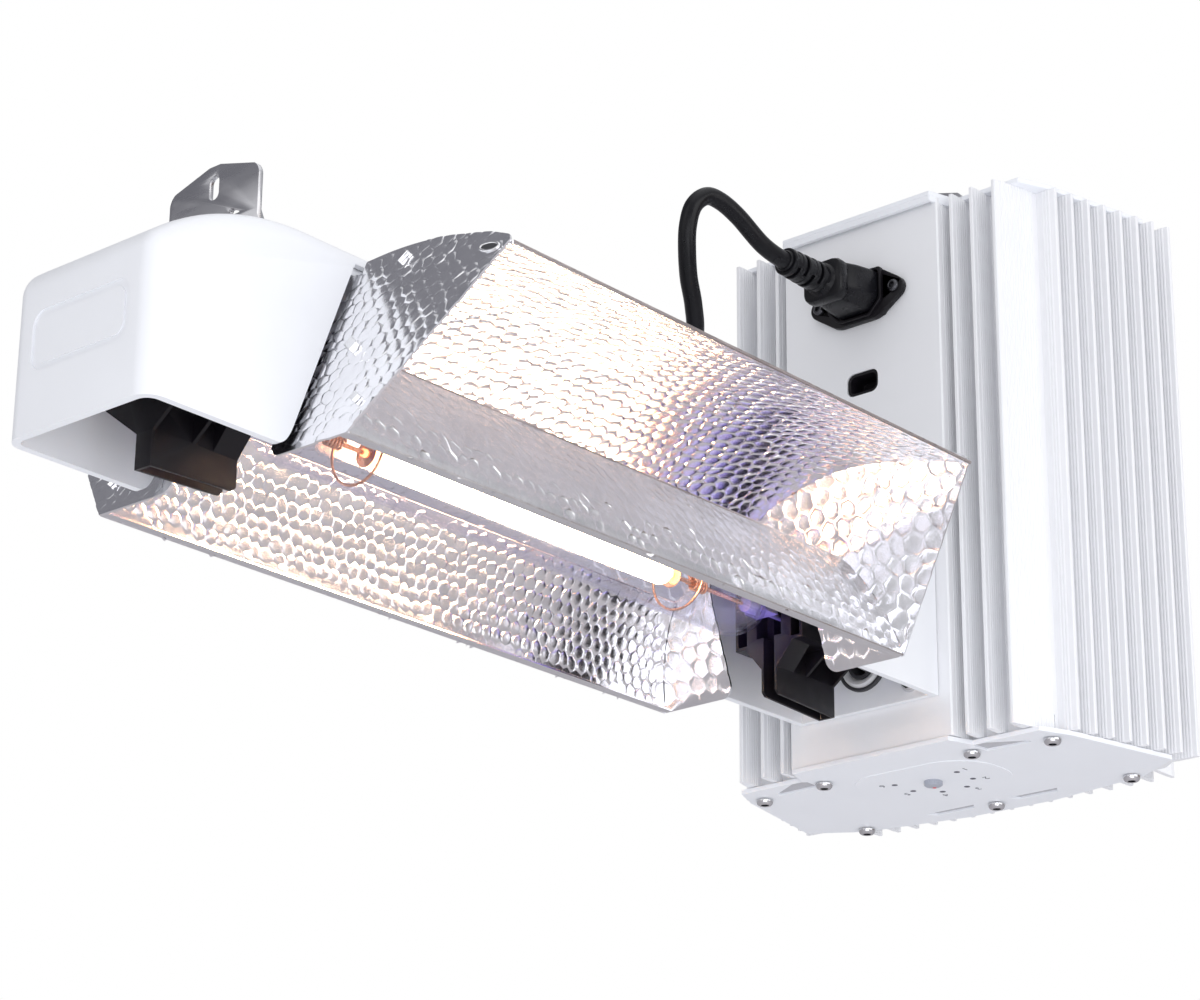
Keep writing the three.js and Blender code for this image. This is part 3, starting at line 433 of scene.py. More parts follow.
def loft(name, sections, materials=(), angle=35, bands=None):
    """Skin over sections of equal count, closed at both ends. With bands, which gives the
    material of each stretch, the sections are rings that close by themselves."""
    count = len(sections[0])
    verts = [point for section in sections for point in section]
    faces = []
    for s in range(0, len(verts) - count, count):
        faces += [[s + k, s + (k + 1) % count, s + count + (k + 1) % count, s + count + k]
                  for k in range(count)]
    looks = [band for band in bands or () for _ in range(count)]
    if not bands:
        faces += [list(range(count))[::-1], list(range(len(verts) - count, len(verts)))]
    obj = new_object(name, verts, faces, materials, looks)
    tidy_mesh(obj, angle=angle)
    return obj


def prism(name, outline, axis, start, end, materials=()):
    """Closed prism over an outline of (a, b) pairs."""
    sections = [[PLACE[axis](a, b, level) for a, b in outline] for level in (start, end)]
    return loft(name, sections, materials, 30)


def arc(cx, cy, radius, start, end, steps):
    turns = [math.radians(start + (end - start) * i / steps) for i in range(steps + 1)]
    return [(cx + radius * math.cos(t), cy + radius * math.sin(t)) for t in turns]


def curved_corner(start, corner, end, steps):
    """Quadratic curve from start to end that rounds off corner."""
    start, corner, end = Vector(start), Vector(corner), Vector(end)
    shares = [i / steps for i in range(steps + 1)]
    return [tuple(start * (1 - t) ** 2 + corner * 2 * t * (1 - t) + end * t * t) for t in shares]


def rounded_rect(a0, b0, a1, b1, radius, steps=8):
    return [
        *arc(a1 - radius, b0 + radius, radius, -90, 0, steps),
        *arc(a1 - radius, b1 - radius, radius, 0, 90, steps),
        *arc(a0 + radius, b1 - radius, radius, 90, 180, steps),
        *arc(a0 + radius, b0 + radius, radius, 180, 270, steps),
    ]


def lathe(name, profile, axis, at, materials, segments=32, bands=None):
    """Turns (radius, height) pairs about an axis through at; bands gives each ring's material."""
    sections = []
    for radius, height in profile:
        ring = arc(0, 0, radius, 0, 360, segments)[:-1]
        sections.append([Vector(PLACE[axis](a, b, height)) + Vector(at) for a, b in ring])
    return loft(name, sections, materials, 40, bands or [0] * (len(profile) - 1))


def rod(name, radius, start, end, axis, at, materials=(), segments=32):
    return lathe(name, [(0, start), (radius, start), (radius, end), (0, end)], axis, at,
                 materials, segments)


def smooth_path(points, steps):
    """Points of a Catmull-Rom curve through points, steps per stretch."""
    points = [Vector(p) for p in points]
    padded = [points[0] * 2 - points[1], *points, points[-1] * 2 - points[-2]]
    path = []
    for a, b, c, d in zip(padded, padded[1:], padded[2:], padded[3:]):
        for i in range(steps):
            t = i / steps
            path.append(0.5 * (2 * b + (c - a) * t + (2 * a - 5 * b + 4 * c - d) * t * t
                               + (3 * b - a - 3 * c + d) * t ** 3))
    return [*path, points[-1]]


def sweep(name, path, radius, materials, sides=16):
    """Round tube along a path, closed at both ends."""
    path = [Vector(point) for point in path]
    sections = []
    side = (path[1] - path[0]).normalized().orthogonal().normalized()
    for i, point in enumerate(path):
        tangent = (path[min(i + 1, len(path) - 1)] - path[max(i - 1, 0)]).normalized()
        side = (side - tangent * side.dot(tangent)).normalized()
        other = tangent.cross(side)
        ring = arc(0, 0, radius, 0, 360, sides)[:-1]
        sections.append([point + side * a + other * b for a, b in ring])
    return loft(name, sections, materials, 50)


def join(name, objects):
    """One object from several, keeping their materials."""
    work = bmesh.new()
    materials = []
    for obj in objects:
        if obj.modifiers:
            evaluated(obj)
        start = len(work.faces)
        work.from_mesh(obj.data)
        work.faces.ensure_lookup_table()
        for face in work.faces[start:]:
            material = obj.data.materials[face.material_index]
            if material not in materials:
                materials.append(material)
            face.material_index = materials.index(material)
    mesh = bpy.data.meshes.new(name)
    work.to_mesh(mesh)
    work.free()
    for material in materials:
        mesh.materials.append(material)
    for obj in objects:
        bpy.data.objects.remove(obj)
    return add_object(name, mesh)


def refined(node, name, width=0.4, prepare=None):
    """A CAD node's shape with clean faces and rounded edges; prepare may reshape it first."""
    mesh = frame["nodes"][node].data.copy()
    mesh.name = name
    mesh.materials.clear()
    mesh.materials.append(SLOT_LOOK[NODE_SLOT[node]])
    work = bmesh.new()
    work.from_mesh(mesh)
    bmesh.ops.remove_doubles(work, verts=work.verts, dist=0.005 * MM)
    bmesh.ops.dissolve_limit(work, angle_limit=math.radians(1.5), verts=work.verts,
                             edges=work.edges)
    bmesh.ops.recalc_face_normals(work, faces=work.faces)
    if prepare:
        prepare(work)
    work.to_mesh(mesh)
    work.free()
    attach(bevel(add_object(name, mesh), width), node)


# ---- hammered sheet
def end_x(z, offset=0.0):
    """Where a slanted end lies at height z."""
    return REFLECTOR_HALF + offset - z * math.tan(SLANT)


def pebble_corners(u_range, v_range, size, seed):
    """Corners of the cells of a jittered hexagonal lattice: the points of its up-pointing and
    down-pointing triangles in (u, v), and the lattice's counts."""
    rng = np.random.default_rng(seed)
    rows = int((v_range[1] - v_range[0]) / (size * 0.866)) + 4
    columns = int((u_range[1] - u_range[0]) / size) + rows // 2 + 5
    q, r = np.meshgrid(np.arange(columns), np.arange(rows), indexing="ij")
    u = u_range[0] + (q + r / 2 - rows / 2 - 1) * size
    v = v_range[0] + (r - 1.5) * size * 0.866
    centres = np.stack([u, v], -1) + rng.uniform(-0.33, 0.33, (columns, rows, 2)) * size
    up = (centres[:-1, :-1] + centres[1:, :-1] + centres[:-1, 1:]) / 3
    down = (centres[1:, :-1] + centres[:-1, 1:] + centres[1:, 1:]) / 3
    return (up, down), columns, rows


def hammered_patch(place, u_range, v_range, inside, size, height, seed):
    """Verts and faces of a pebbled patch. place(u, v, h) gives the point, and inside(u, v)
    moves (u, v) onto the patch and says how far it was from it."""
    corners, columns, rows = pebble_corners(u_range, v_range, size, seed)
    rng = random.Random(seed)
    verts = []
    faces = []
    sides = [(k, (k + 1) % 6) for k in range(6)]
    corner_index = {}

    def add(u, v, h):
        verts.append(place(u, v, h))
        return len(verts) - 1

    for i, j in itertools.product(range(1, columns - 1), range(1, rows - 1)):
        around = [(0, i, j), (1, i - 1, j), (0, i - 1, j), (1, i - 1, j - 1), (0, i, j - 1),
                  (1, i, j - 1)]
        moved = [inside(*corners[kind][a, b]) for kind, a, b in around]
        if min(off for _, off in moved) > 0:
            continue
        for key, (point, _) in zip(around, moved):
            if key not in corner_index:
                corner_index[key] = add(*point, 0.0)
        flat = np.array([point for point, _ in moved])
        centre = flat.mean(0)
        arms = flat - centre
        lengths = np.hypot(*arms.T)
        edge_cell = max(off for _, off in moved) > 0
        rise = 0.0 if edge_cell else height * rng.uniform(0.6, 1.15)
        lean = np.array([rng.uniform(-1, 1), rng.uniform(-1, 1)]) * (0 if edge_cell else 0.035)
        loops = [[corner_index[key] for key in around]]
        for share, lift in ((0.86, 0.62), (0.58, 0.95)):
            ring = []
            for arm, length in zip(arms, lengths):
                reach = share * (0.55 * length + 0.45 * lengths.mean())
                offset = arm / max(length, 1e-6) * min(reach, length * 0.93)
                ring.append(add(*(centre + offset), rise * lift + float(offset @ lean)))
            loops.append(ring)
        middle = add(*centre, rise)
        for outer, inner in zip(loops, loops[1:]):
            faces += [[outer[k], outer[m], inner[m], inner[k]] for k, m in sides]
        faces += [[inner[k], inner[m], middle] for k, m in sides]
    return verts, faces


def hammered_sheet(name, *patch):
    """Sheet of even thickness with a pebbled face."""
    obj = new_object(name, *hammered_patch(*patch), [hammered])
    tidy_mesh(obj, merge=0.05, angle=70)
    modifier = obj.modifiers.new("sheet", "SOLIDIFY")
    modifier.thickness = SHEET * MM
    return evaluated(obj)


def profile_map(points, outer_side=1):
    """Curve through (y, z) points: returns its length, and for a sheet along x height(v) and
    place(u, v, h)."""
    dense = np.array([(p.x, p.y) for p in smooth_path([(y, z, 0) for y, z in points], 8)])
    travel = np.concatenate([[0], np.cumsum(np.hypot(*np.diff(dense, axis=0).T))])
    slope = np.gradient(dense, travel, axis=0)
    normals = np.stack([-slope[:, 1], slope[:, 0]], 1) * outer_side
    normals /= np.hypot(*normals.T)[:, None]

    def height(v):
        return np.interp(v, travel, dense[:, 1])

    def place(u, v, h):
        y, ny, nz = (np.interp(v, travel, row) for row in (dense[:, 0], *normals.T))
        return (u, y + ny * h, height(v) + nz * h)

    return travel[-1], height, place


def curved_sheet(name, points, seed, outer_side=1, size=CELL, pebble=PEBBLE):
    """Pebbled sheet along x that ends just inside the two slanted end plates."""
    length, height, place = profile_map(points, outer_side)

    def inside(u, v):
        clamped_v = min(max(v, 0.0), length)
        limit = end_x(height(clamped_v), -0.8)
        clamped_u = min(max(u, -limit), limit)
        return (clamped_u, clamped_v), abs(clamped_u - u) + abs(clamped_v - v)

    reach = (-REFLECTOR_HALF, REFLECTOR_HALF)
    obj = hammered_sheet(name, place, reach, (0, length), inside, size, pebble, seed)
    smooth(obj, 60)
    return obj


def rolled_edge(y, z):
    reach = end_x(z, -0.9)
    return sweep("edge", [(-reach, y, z), (reach, y, z)], 0.4, [edge_metal], 10)


def reflector_top():
    points = WING + [(-y, z) for y, z in WING[-2::-1]]
    edges = [rolled_edge(side * WING[0][0], WING[0][1]) for side in (1, -1)]
    attach(join("hammered_top_sheet", [curved_sheet("sheet", points, 3), *edges]),
           "top_reflector")


def baffle_points(side):
    """Hem and shallow arc of a side baffle, from the hem's inner edge to the free top edge."""
    radius = 76
    top_y, top_z = 43, 40.4
    chord = math.hypot(LIP_Y - top_y, top_z)
    depth = math.sqrt(radius ** 2 - chord ** 2 / 4)
    run, climb = (top_y - LIP_Y) / chord, top_z / chord
    cy = (LIP_Y + top_y) / 2 - climb * depth
    cz = top_z / 2 + run * depth
    start = math.degrees(math.atan2(-cz, LIP_Y - cy))
    end = math.degrees(math.atan2(top_z - cz, top_y - cy))
    return [(side * y, z) for y, z in arc(cy, cz, radius, start, end, 10)]


def baffles():
    """Side baffles; the right one is seen from its back, where the pebbles are fainter."""
    for side, name, pebble in ((1, "left_baffle", 0.38), (-1, "right_baffle", 0.30)):
        points = baffle_points(side)
        wall = curved_sheet("wall", points, 11 + side, side, 5.6, pebble)
        ends = sorted((side * (LIP_Y + 0.1), side * (LIP_Y - 4.3)))
        reach = end_x(0, -1.0)
        hem = prism("hem", [(ends[0], 0), (ends[1], 0), (ends[1], 1), (ends[0], 1)], "x", -reach,
                    reach, [hammered])
        attach(join(f"hammered_{name}", [wall, bevel(hem, 0.25), rolled_edge(*points[-1])]), name)


def plate_outline():
    """Outline (y, height along the slope) of an end plate, with the notch for the lamp."""
    corner = 5
    notch_half, notch_top, notch_round = 24.4, 52, 14
    half = [
        *arc(notch_half - notch_round, notch_top - notch_round, notch_round, 90, 0, 8),
        *arc(notch_half + corner, corner + 0.2, corner, 180, 270, 6), (LIP_Y - 0.4, 0.2),
    ]
    crest = [(109, 65, 0), (99.7, 69.2, 0), (84.9, 73.3, 0), (72.9, 76.2, 0), (61.4, 77.7, 0),
             (50.1, 78.2, 0), (38.3, 77.6, 0)]
    half.append((WING[0][0] - 0.9, WING[0][1] + 0.7))
    half += [(p.x, p.y) for p in smooth_path(crest, 4)] + [(38.3, 72.6)]
    half = [(y, z * SLOPE_STRETCH) for y, z in half]
    return half + [(-y, z) for y, z in reversed(half)]


def on_plate(side):
    """place(u, v, h) on the outer face of the near (-1) or far (+1) end plate."""
    normal = Vector((math.cos(SLANT), 0, math.sin(SLANT)))
    up = Vector((-math.sin(SLANT), 0, math.cos(SLANT)))
    start = Vector((REFLECTOR_HALF, 0, 0))

    def place(u, v, h):
        point = start + up * v + normal * h + Vector((0, u, 0))
        return (side * point.x, side * point.y, point.z)

    return place


def plate_tabs(side):
    """Bent locking tabs and the raised lips of slots on the outer face of an end plate; a flat dark
    disc inside each lip is painted shade for the slot, which is not cut.
    """
    place = on_plate(side)
    pieces = []
    for y, z, width, tall, turn in ((47.2, 39.3, 7.4, 4.0, -42), (59.5, 14.2, 5.2, 3.1, -43),
                                    (58.4, 72.4, 1.6, 5.0, -40)):
        turned = Matrix.Rotation(math.radians(turn), 2)
        for mirror in (1, -1):
            sections = []
            for h, tilt in ((0.1, 0), (1.5, 0.5)):
                ring = []
                for a, b in ((-1, -1), (1, -1), (1, 1), (-1, 1)):
                    u, v = turned @ Vector((a * width / 2, b * tall / 2))
                    ring.append(place(mirror * (y + u), z * SLOPE_STRETCH + v, h + tilt * a))
                sections.append(ring)
            pieces.append(bevel(loft("tab", sections, [tab_metal], 30), 0.35))
    for mirror in (1, -1):
        rim = [place(mirror * (101.3 + 4.6 * a), 62.2 * SLOPE_STRETCH + 1.8 * b - 1.15 * a, 0.4)
               for a, b in arc(0, 0, 1, 0, 360, 28)]
        pieces.append(sweep("lip", rim, 0.5, [tab_metal], 8))
        # painted shade: a flat dark disc in place of the slot's opening; the plate is not cut here
        pieces.append(new_object("hole", rim[:-1], [list(range(28))], [black_and_painted_hole_shade]))
    return pieces


def end_sheet(side, node, cell, pebble):
    """Pebbled end plate, cut to its outline, with its tabs."""
    place = on_plate(side)
    outline = plate_outline()
    top = max(v for _, v in outline) + 3
    reach = WING[0][0] + 2

    def inside(u, v):
        clamped_u = min(max(u, -reach), reach)
        clamped_v = min(max(v, -2.0), top)
        return (clamped_u, clamped_v), abs(clamped_u - u) + abs(clamped_v - v)

    obj = hammered_sheet("sheet", place, (-reach, reach), (-2, top), inside, CELL * cell,
                         PEBBLE * pebble, 23 + side)
    walls = [[place(u, v, h) for u, v in outline] for h in (-8, 8)]
    boolean(obj, loft("plate_cutter", walls, [hammered], 30), "INTERSECT")
    smooth(obj, 50)
    attach(join(f"hammered_{node}_sheet", [obj, *plate_tabs(side)]), node)


# ---- lamp
def bulb():
    """Clear outer tube with domed ends and a wall of constant thickness."""
    wall = 1.1
    dome = 15
    neck = 5.2
    outer = [(neck, -BULB_HALF)]
    for a, b in arc(0, 0, 1, 20, 90, 8):
        outer.append((max(neck, BULB_RADIUS * b), -BULB_HALF + dome - dome * a))
    outer += [(r, -h) for r, h in reversed(outer)]
    inner = [(max(r - wall, neck - wall), h * (1 - wall / BULB_HALF)) for r, h in reversed(outer)]
    obj = lathe("bulb_glass", [*outer, *inner, outer[0]], "x", (0, 0, LAMP_Z), [quartz], 56)
    attach(obj, "bulb_envelope")


def arc_tube():
    tip = -ARC_HALF - ARC_TIP
    body = [(0, tip), (1.5, tip), (1.8, -ARC_HALF - 1), (3.6, -ARC_HALF),
            (ARC_RADIUS - 0.5, -ARC_HALF + 0.6), (ARC_RADIUS, -ARC_HALF + 2), (ARC_RADIUS, 0)]
    profile = body + [(r, -h) for r, h in reversed(body[:-1])]
    attach(lathe("arc_tube_lit", profile, "x", (0, 0, LAMP_Z), [arc_glow], 40), "arc_tube")


def wire_ring(radius, x, steps, turns=1, climb=0.0):
    points = arc(0, LAMP_Z, radius, 0, 360 * turns, steps)
    return [(x + climb * i / steps, y, z) for i, (y, z) in enumerate(points)]


def wire_support(side, node):
    """Rod, spring coil, centring ring with its spoke, and the small disc at the arc tube."""
    ring_x = ARC_HALF + 8.5
    wire = 0.55
    spoke = [(ring_x, 0, LAMP_Z + 12.9), (ring_x + 4, 0, LAMP_Z + 6),
             (ring_x + 8, 0, LAMP_Z + 0.6)]
    disc = [(0, -0.4), (4.6, -0.4), (5.1, 0), (4.6, 0.4), (0, 0.4)]
    pieces = [
        sweep("rod", [(ARC_HALF + 5.5, 0, LAMP_Z), (BULB_HALF - 8, 0, LAMP_Z)], 0.9,
              [arc_lit_painted_wire], 12),
        sweep("ring", wire_ring(12.9, ring_x, 48), wire, [arc_lit_painted_wire], 8),
        sweep("coil", wire_ring(2.3, ring_x + 8, 70, 5, 7.5), 0.5, [arc_lit_painted_wire], 8),
        sweep("spoke", spoke, wire, [arc_lit_painted_wire], 8),
        lathe("disc", disc, "x", (ARC_HALF + 4.2, 0, LAMP_Z), [arc_lit_painted_wire], 28),
    ]
    obj = join(f"{node}_wires", pieces)
    if side < 0:
        half_turn = Matrix.Translation(ORIGIN) @ Matrix.Rotation(math.pi, 4, "Z")
        obj.data.transform(half_turn @ Matrix.Translation(-ORIGIN))
    smooth(obj, 50)
    attach(obj, node)


# ---- casings
def heel_curve(rim):
    """Rounded heel of a casing's side profile, from its rim up to the slanted edge."""
    edge = end_x(rim + HEEL, EDGE_OFFSET)
    return curved_corner((edge + HEEL * 0.85, rim), (end_x(rim, EDGE_OFFSET), rim),
                         (edge, rim + HEEL), 8)


def cap_roof(inset):
    """Rounded brow and domed roof, from the front face to where the roof runs level."""
    brow, dome, dome_x = BODY_CORNER + 1, 103, -149
    brow_x = CAP_LOW.x + brow
    dome_z = BODY_TOP - dome
    rise = math.sqrt((dome - brow) ** 2 - (brow_x - dome_x) ** 2)
    turn = math.degrees(math.atan2(rise, brow_x - dome_x))
    first = arc(brow_x, dome_z + rise, brow - inset, 180, turn, 8)
    return first + arc(dome_x, dome_z, dome - inset, turn, 90, 18)[1:]


def cap_outline(inset):
    """Side profile: rim, slanted rear edge with a rounded heel, dome and roof."""
    top = BODY_TOP - inset
    lip = min(ROOF_LIP_Z, top - 0.3)
    end = ROOF_END if top > ROOF_LIP_Z + 0.5 else end_x(lip, EDGE_OFFSET) - 0.3
    heel = [(-x, z) for x, z in heel_curve(CAP_LOW.z)]
    tail = [(-end_x(lip, EDGE_OFFSET), lip), (-end, lip), (-end, top)]
    return [(CAP_LOW.x + inset, CAP_LOW.z), *heel, *tail, *reversed(cap_roof(inset))]


def hollow_outline(inset):
    side = [(CAP_LOW.x + inset, -10), (-90, -10), (-90, BODY_TOP - inset)]
    return side + cap_roof(inset)[::-1]


def rounded_sides(name, outline_at, inset, radius, half):
    """Solid whose roof and front turn into both flat sides with one even rounding."""
    sections = []
    for side, start, end in ((-1, 90, 0), (1, 0, 90)):
        for depth, out in arc(0, 0, radius, start, end, 8):
            outline = outline_at(inset + radius - depth)
            sections.append([(x, side * (half - radius + out), z) for x, z in outline])
    return loft(name, sections, [white_coat])


def end_cap():
    """Domed cap, open below, with a plain recessed panel on its front."""
    obj = rounded_sides("cap_casing", cap_outline, 0, CAP_ROUNDING, BODY_HALF)
    boolean(obj, rounded_sides("hollow", hollow_outline, BODY_WALL, CAP_ROUNDING - BODY_WALL,
                               BODY_HALF - BODY_WALL))
    recess = rounded_rect(-24, 23, 24, 45, 6)
    boolean(obj, prism("recess", recess, "x", CAP_LOW.x - 5, CAP_LOW.x + 0.8))
    field = rounded_rect(-21.5, 25.5, 21.5, 42.5, 4)
    boolean(obj, prism("field", field, "x", CAP_LOW.x + 0.25, CAP_LOW.x + 1.5, [white_coat]),
            "UNION")
    tidy_mesh(obj, 0.005)
    attach(bevel(obj, 0.7, 3, 40), "end_cap")


def crowned(name, side_outline, inset):
    """A side profile run across the body and trimmed by a crown with rounded edges."""
    half = BODY_HALF - inset
    obj = prism(name, side_outline, "y", -half, half, [white_coat])
    crown = rounded_rect(-half, -60, half, BODY_TOP - inset, BODY_CORNER - inset)
    return boolean(obj, prism("crown", crown, "x", -400, 400), "INTERSECT")


def socket_housing():
    """Casing between reflector and ballast, open below, with a bore for the lamp's lead."""
    back = FRONT_X - 0.3
    outline = [*reversed(heel_curve(HOUSING_RIM)), (back, HOUSING_RIM), (back, BODY_TOP),
               (ROOF_END, BODY_TOP), (ROOF_END, ROOF_LIP_Z),
               (end_x(ROOF_LIP_Z, EDGE_OFFSET), ROOF_LIP_Z)]
    inner, roof = back - BODY_WALL, BODY_TOP - BODY_WALL
    obj = crowned("socket_casing", outline, 0)
    boolean(obj, crowned("hollow", [(90, -10), (inner, -10), (inner, roof), (90, roof)],
                         BODY_WALL))
    boolean(obj, rod("bore", LEAD_BORE, 200, 220, "x", (0, 0, GROMMET_Z)))
    tidy_mesh(obj, 0.005)
    attach(bevel(obj, 0.6, 3, 40), "socket_housing")


# ---- ballast
def ribbed(start, end):
    """Points from start to end with a fine wave cut into the left of the line."""
    pitch, depth, margin = 1.5, 0.28, 1.6
    start, end = Vector(start), Vector(end)
    length = (end - start).length
    ahead = (end - start) / length
    inward = Vector((-ahead.y, ahead.x))
    count = max(0, int((length - 2 * margin) / pitch))
    first = (length - count * pitch) / 2
    wave = [start + ahead * (first + (i + share) * pitch) + inward * cut for i in range(count)
            for share, cut in ((0.0, 0.0), (0.3, depth), (0.62, depth), (0.92, 0.0))]
    return [tuple(point) for point in (start, *wave, end)]


def fin(*corners):
    """One fin: out along its first side, over the rounded tip and back along the second."""
    root_a, tip_a, tip_b, root_b = (Vector(corner) for corner in corners)
    nose = 0.35
    across = (tip_b - tip_a).normalized() * nose
    first = ribbed(root_a, tip_a + (root_a - tip_a).normalized() * nose)
    second = ribbed(tip_b + (root_b - tip_b).normalized() * nose, root_b)
    return [*first, tuple(tip_a + across), tuple(tip_b - across), *second]


def housing_half():
    """Half plan of the finned extrusion, from the middle of the front to that of the rear."""
    front_root, front_tip = 227, 214
    rear_root, rear_tip, rear_pitch = 309, 324, 10.2
    first_side, side_pitch, corner_y = 238.5, 9.15, 69.5
    w = FIN / 2

    def root(at):
        return 74 + 0.2 * (at - 228)

    half = [(FRONT_X, 0), (FRONT_X, FACE_HALF - 0.6), (FRONT_X + 0.6, FACE_HALF)]
    half += ribbed((FRONT_X + 1, FACE_HALF), (front_root, FACE_HALF))
    for y in (47.5, 58):
        half += fin((front_root, y - w), (front_tip, y - w), (front_tip, y + w),
                    (front_root, y + w))
    # the last front fin is the start of the side wall
    half += fin((front_root, corner_y - w), (front_tip, corner_y - w), (front_tip, corner_y + w),
                (first_side - w, root(first_side - w)))
    for i in range(8):
        x = first_side + i * side_pitch
        tip = 85.5 + 0.26 * (x - first_side)
        half += fin((x - w, root(x)), (x - w, tip), (x + w, tip), (x + w, root(x)))
    half.append((rear_root, 82))
    for i in reversed(range(8)):
        y = (i + 0.5) * rear_pitch
        half += fin((rear_root, y + w), (rear_tip, y + w), (rear_tip, y - w), (rear_root, y - w))
    return half + [(rear_root, 0)]


def whole_plan(half):
    kept = [p for p in half if p[1] > 0]
    return kept + [(x, -y) for x, y in reversed(kept)]


def ballast_housing():
    """Finned extrusion around a cavity, with openings for the port, the inlet and the lead."""
    top = COVER_TOP - COVER_PLATE
    obj = prism("finned_housing", whole_plan(housing_half()), "z", BALLAST_BOTTOM, top, [fin_coat])
    cavity = [(FRONT_X + 3.5, 38), (230, 38), (231, 70), (296, 82.5), (305.5, 72)]
    boolean(obj, prism("cavity", whole_plan(cavity), "z", BALLAST_BOTTOM - 5, top + 5))
    for z, half_width, half_height, corner in ((PORT_Z, 8.3, 5.3, 3.6), (INLET_Z, 14.2, 10.6, 2)):
        opening = rounded_rect(-half_width, z - half_height, half_width, z + half_height, corner)
        boolean(obj, prism("opening", opening, "x", 200, 222))
    boolean(obj, rod("bore", LEAD_BORE, 200, 222, "x", (0, 0, GROMMET_Z)))
    tidy_mesh(obj, 0.002, 24)
    attach(obj, "ballast_housing")


def cover_plan(nose):
    return whole_plan([(nose, 0.01), (nose, 40), (223, 44), (223, 76.5), (237, 82.5), (293, 95),
                       (307, 73), (315.5, 22), (315.5, 0.01)])


def lower_cover():
    """Bottom plate: shallow pockets along its edges, whose floors are painted darker grey as their
    shade, and a raised dial field.
    """
    top = BALLAST_BOTTOM - 0.3
    obj = prism("lower_cover", cover_plan(FRONT_X - 1), "z", COVER_UNDERSIDE, top, [cover_coat])
    wedge = [(224, 45), (225.5, 42.8), (234.2, 43.4), (235, 64.5), (232.8, 65), (224.2, 50)]
    slot = [(299.6, 9), (304.4, 12), (304.4, 31), (299.6, 34)]
    shade_painted_floors = []
    for mirror in (1, -1):
        for shape in (wedge, slot):
            points = [(x, mirror * y) for x, y in shape]
            boolean(obj, prism("pocket", points, "z", -30, COVER_UNDERSIDE + 1.2))
            # a darker floor in each pocket: painted shade
            shade_painted_floors.append(prism("floor", points, "z", COVER_UNDERSIDE + 1.0,
                                COVER_UNDERSIDE + 1.4, [painted_shade_coat]))
    tidy_mesh(obj, 0.005)
    bevel(obj, 0.5, 3)
    field = rounded_rect(KNOB_X - 23, -34, KNOB_X + 23, 34, 20, 14)
    plate = prism("dial_field", field, "z", COVER_UNDERSIDE - DIAL_RISE, COVER_UNDERSIDE + 0.3,
                  [cover_coat])
    attach(join("lower_cover_plate", [obj, bevel(plate, 0.2), *shade_painted_floors]), "bottom_cover")


def upper_cover():
    """Top plate with a deeper folded lip along its front."""
    under = COVER_TOP - COVER_PLATE
    nose = FRONT_X - 3.4
    plate = prism("plate", cover_plan(nose), "z", under + 0.05, COVER_TOP, [cover_coat])
    pieces = [bevel(plate, 0.5, 3)]
    front = [(nose, -40), (nose, 40), (nose + 2, 39.4), (nose + 2, -39.4)]
    side = [(nose, 40), (nose + 14, 44.0), (nose + 14, 41.9), (nose + 3.2, 38.9)]
    for outline, width in ((front, 0.4), (side, 0.3), ([(x, -y) for x, y in side], 0.3)):
        fold = prism("fold", outline, "z", COVER_TOP - 5, under + 0.3, [cover_coat])
        pieces.append(bevel(fold, width))
    attach(join("upper_cover_plate", pieces), "top_cover")


# ---- fasteners
def pan_head(name, node, axis, radius, metal=chrome):
    """Pan-head screw with a hexagon socket and its shank along +axis; the socket's floor and wall
    take the dark steel as painted shade in the recess.
    """
    low, high = span(node)
    index = "xyz".index(axis)
    at = (low + high) / 2
    at[index] = 0
    height = radius * 0.62
    shank = radius * 0.42
    seat = low[index] + height
    end = high[index] - seat
    crown = [(radius * (0.56 + 0.44 * b), -height * a) for a, b in arc(0, 0, 1, 0, 90, 6)]
    profile = [(0, -height * 0.25), (radius * 0.40, -height * 0.25),
               (radius * 0.44, -height * 0.93), *crown, (shank, 0), (shank, end), (0, end)]
    # the socket's floor and wall take the second material: painted shade in the recess
    bands = [1, 1] + [0] * (len(profile) - 3)
    attach(lathe(name, [(r, seat + h) for r, h in profile], axis, at, [metal, black_steel_and_socket_shade], 24,
                 bands), node)


def fasteners():
    for i in range(1, 8):
        pan_head(f"cover_screw_{i}", f"bottom_screw_{i}", "z", 3.8)
    for i in (1, 2):
        pan_head(f"casing_screw_{i}", f"housing_screw_{i}", "x", 4.0)
        pan_head(f"flange_screw_{i}", f"inlet_screw_{i}", "x", 2.9, black_steel_and_socket_shade)
        for hanger in ("cap", "ballast"):
            refined(f"{hanger}_hanger_bolt_{i}", f"{hanger}_bolt_{i}")


# ---- selector
def around_knob(radius, degrees, z=0):
    turn = math.radians(degrees)
    return KNOB_X + radius * math.cos(turn), radius * math.sin(turn), z


def knob():
    """Small turned knob with a fluted rim, a red index dot and its shaft."""
    radius = (KNOB_HIGH.y - KNOB_LOW.y) / 2
    low = KNOB_LOW.z
    top = COVER_UNDERSIDE - 0.3
    flutes = []
    for i in range(96):
        reach = radius - (0.22 if (i // 2) % 2 else 0.0)
        flutes.append(around_knob(reach, 360 * i / 96)[:2])
    body = prism("body", flutes, "z", low + 0.5, top, [grey_plastic])
    smooth(body, 50)
    rim = [(0, low), (radius - 1.0, low), (radius - 0.55, low + 0.15), (radius - 0.3, low + 0.6),
           (0, low + 0.6)]
    middle = (KNOB_X, 0, 0)
    pieces = [
        body, lathe("face", rim, "z", middle, [grey_plastic], 48),
        rod("shaft", 1.6, top - 0.5, KNOB_HIGH.z, "z", middle, [grey_plastic], 20),
        rod("dot", 0.85, low - 0.04, low + 0.2, "z", around_knob(2.1, SELECTOR_STEP / 2),
            [red_ink], 20),
    ]
    attach(join("selector_knob", pieces), "output_knob")


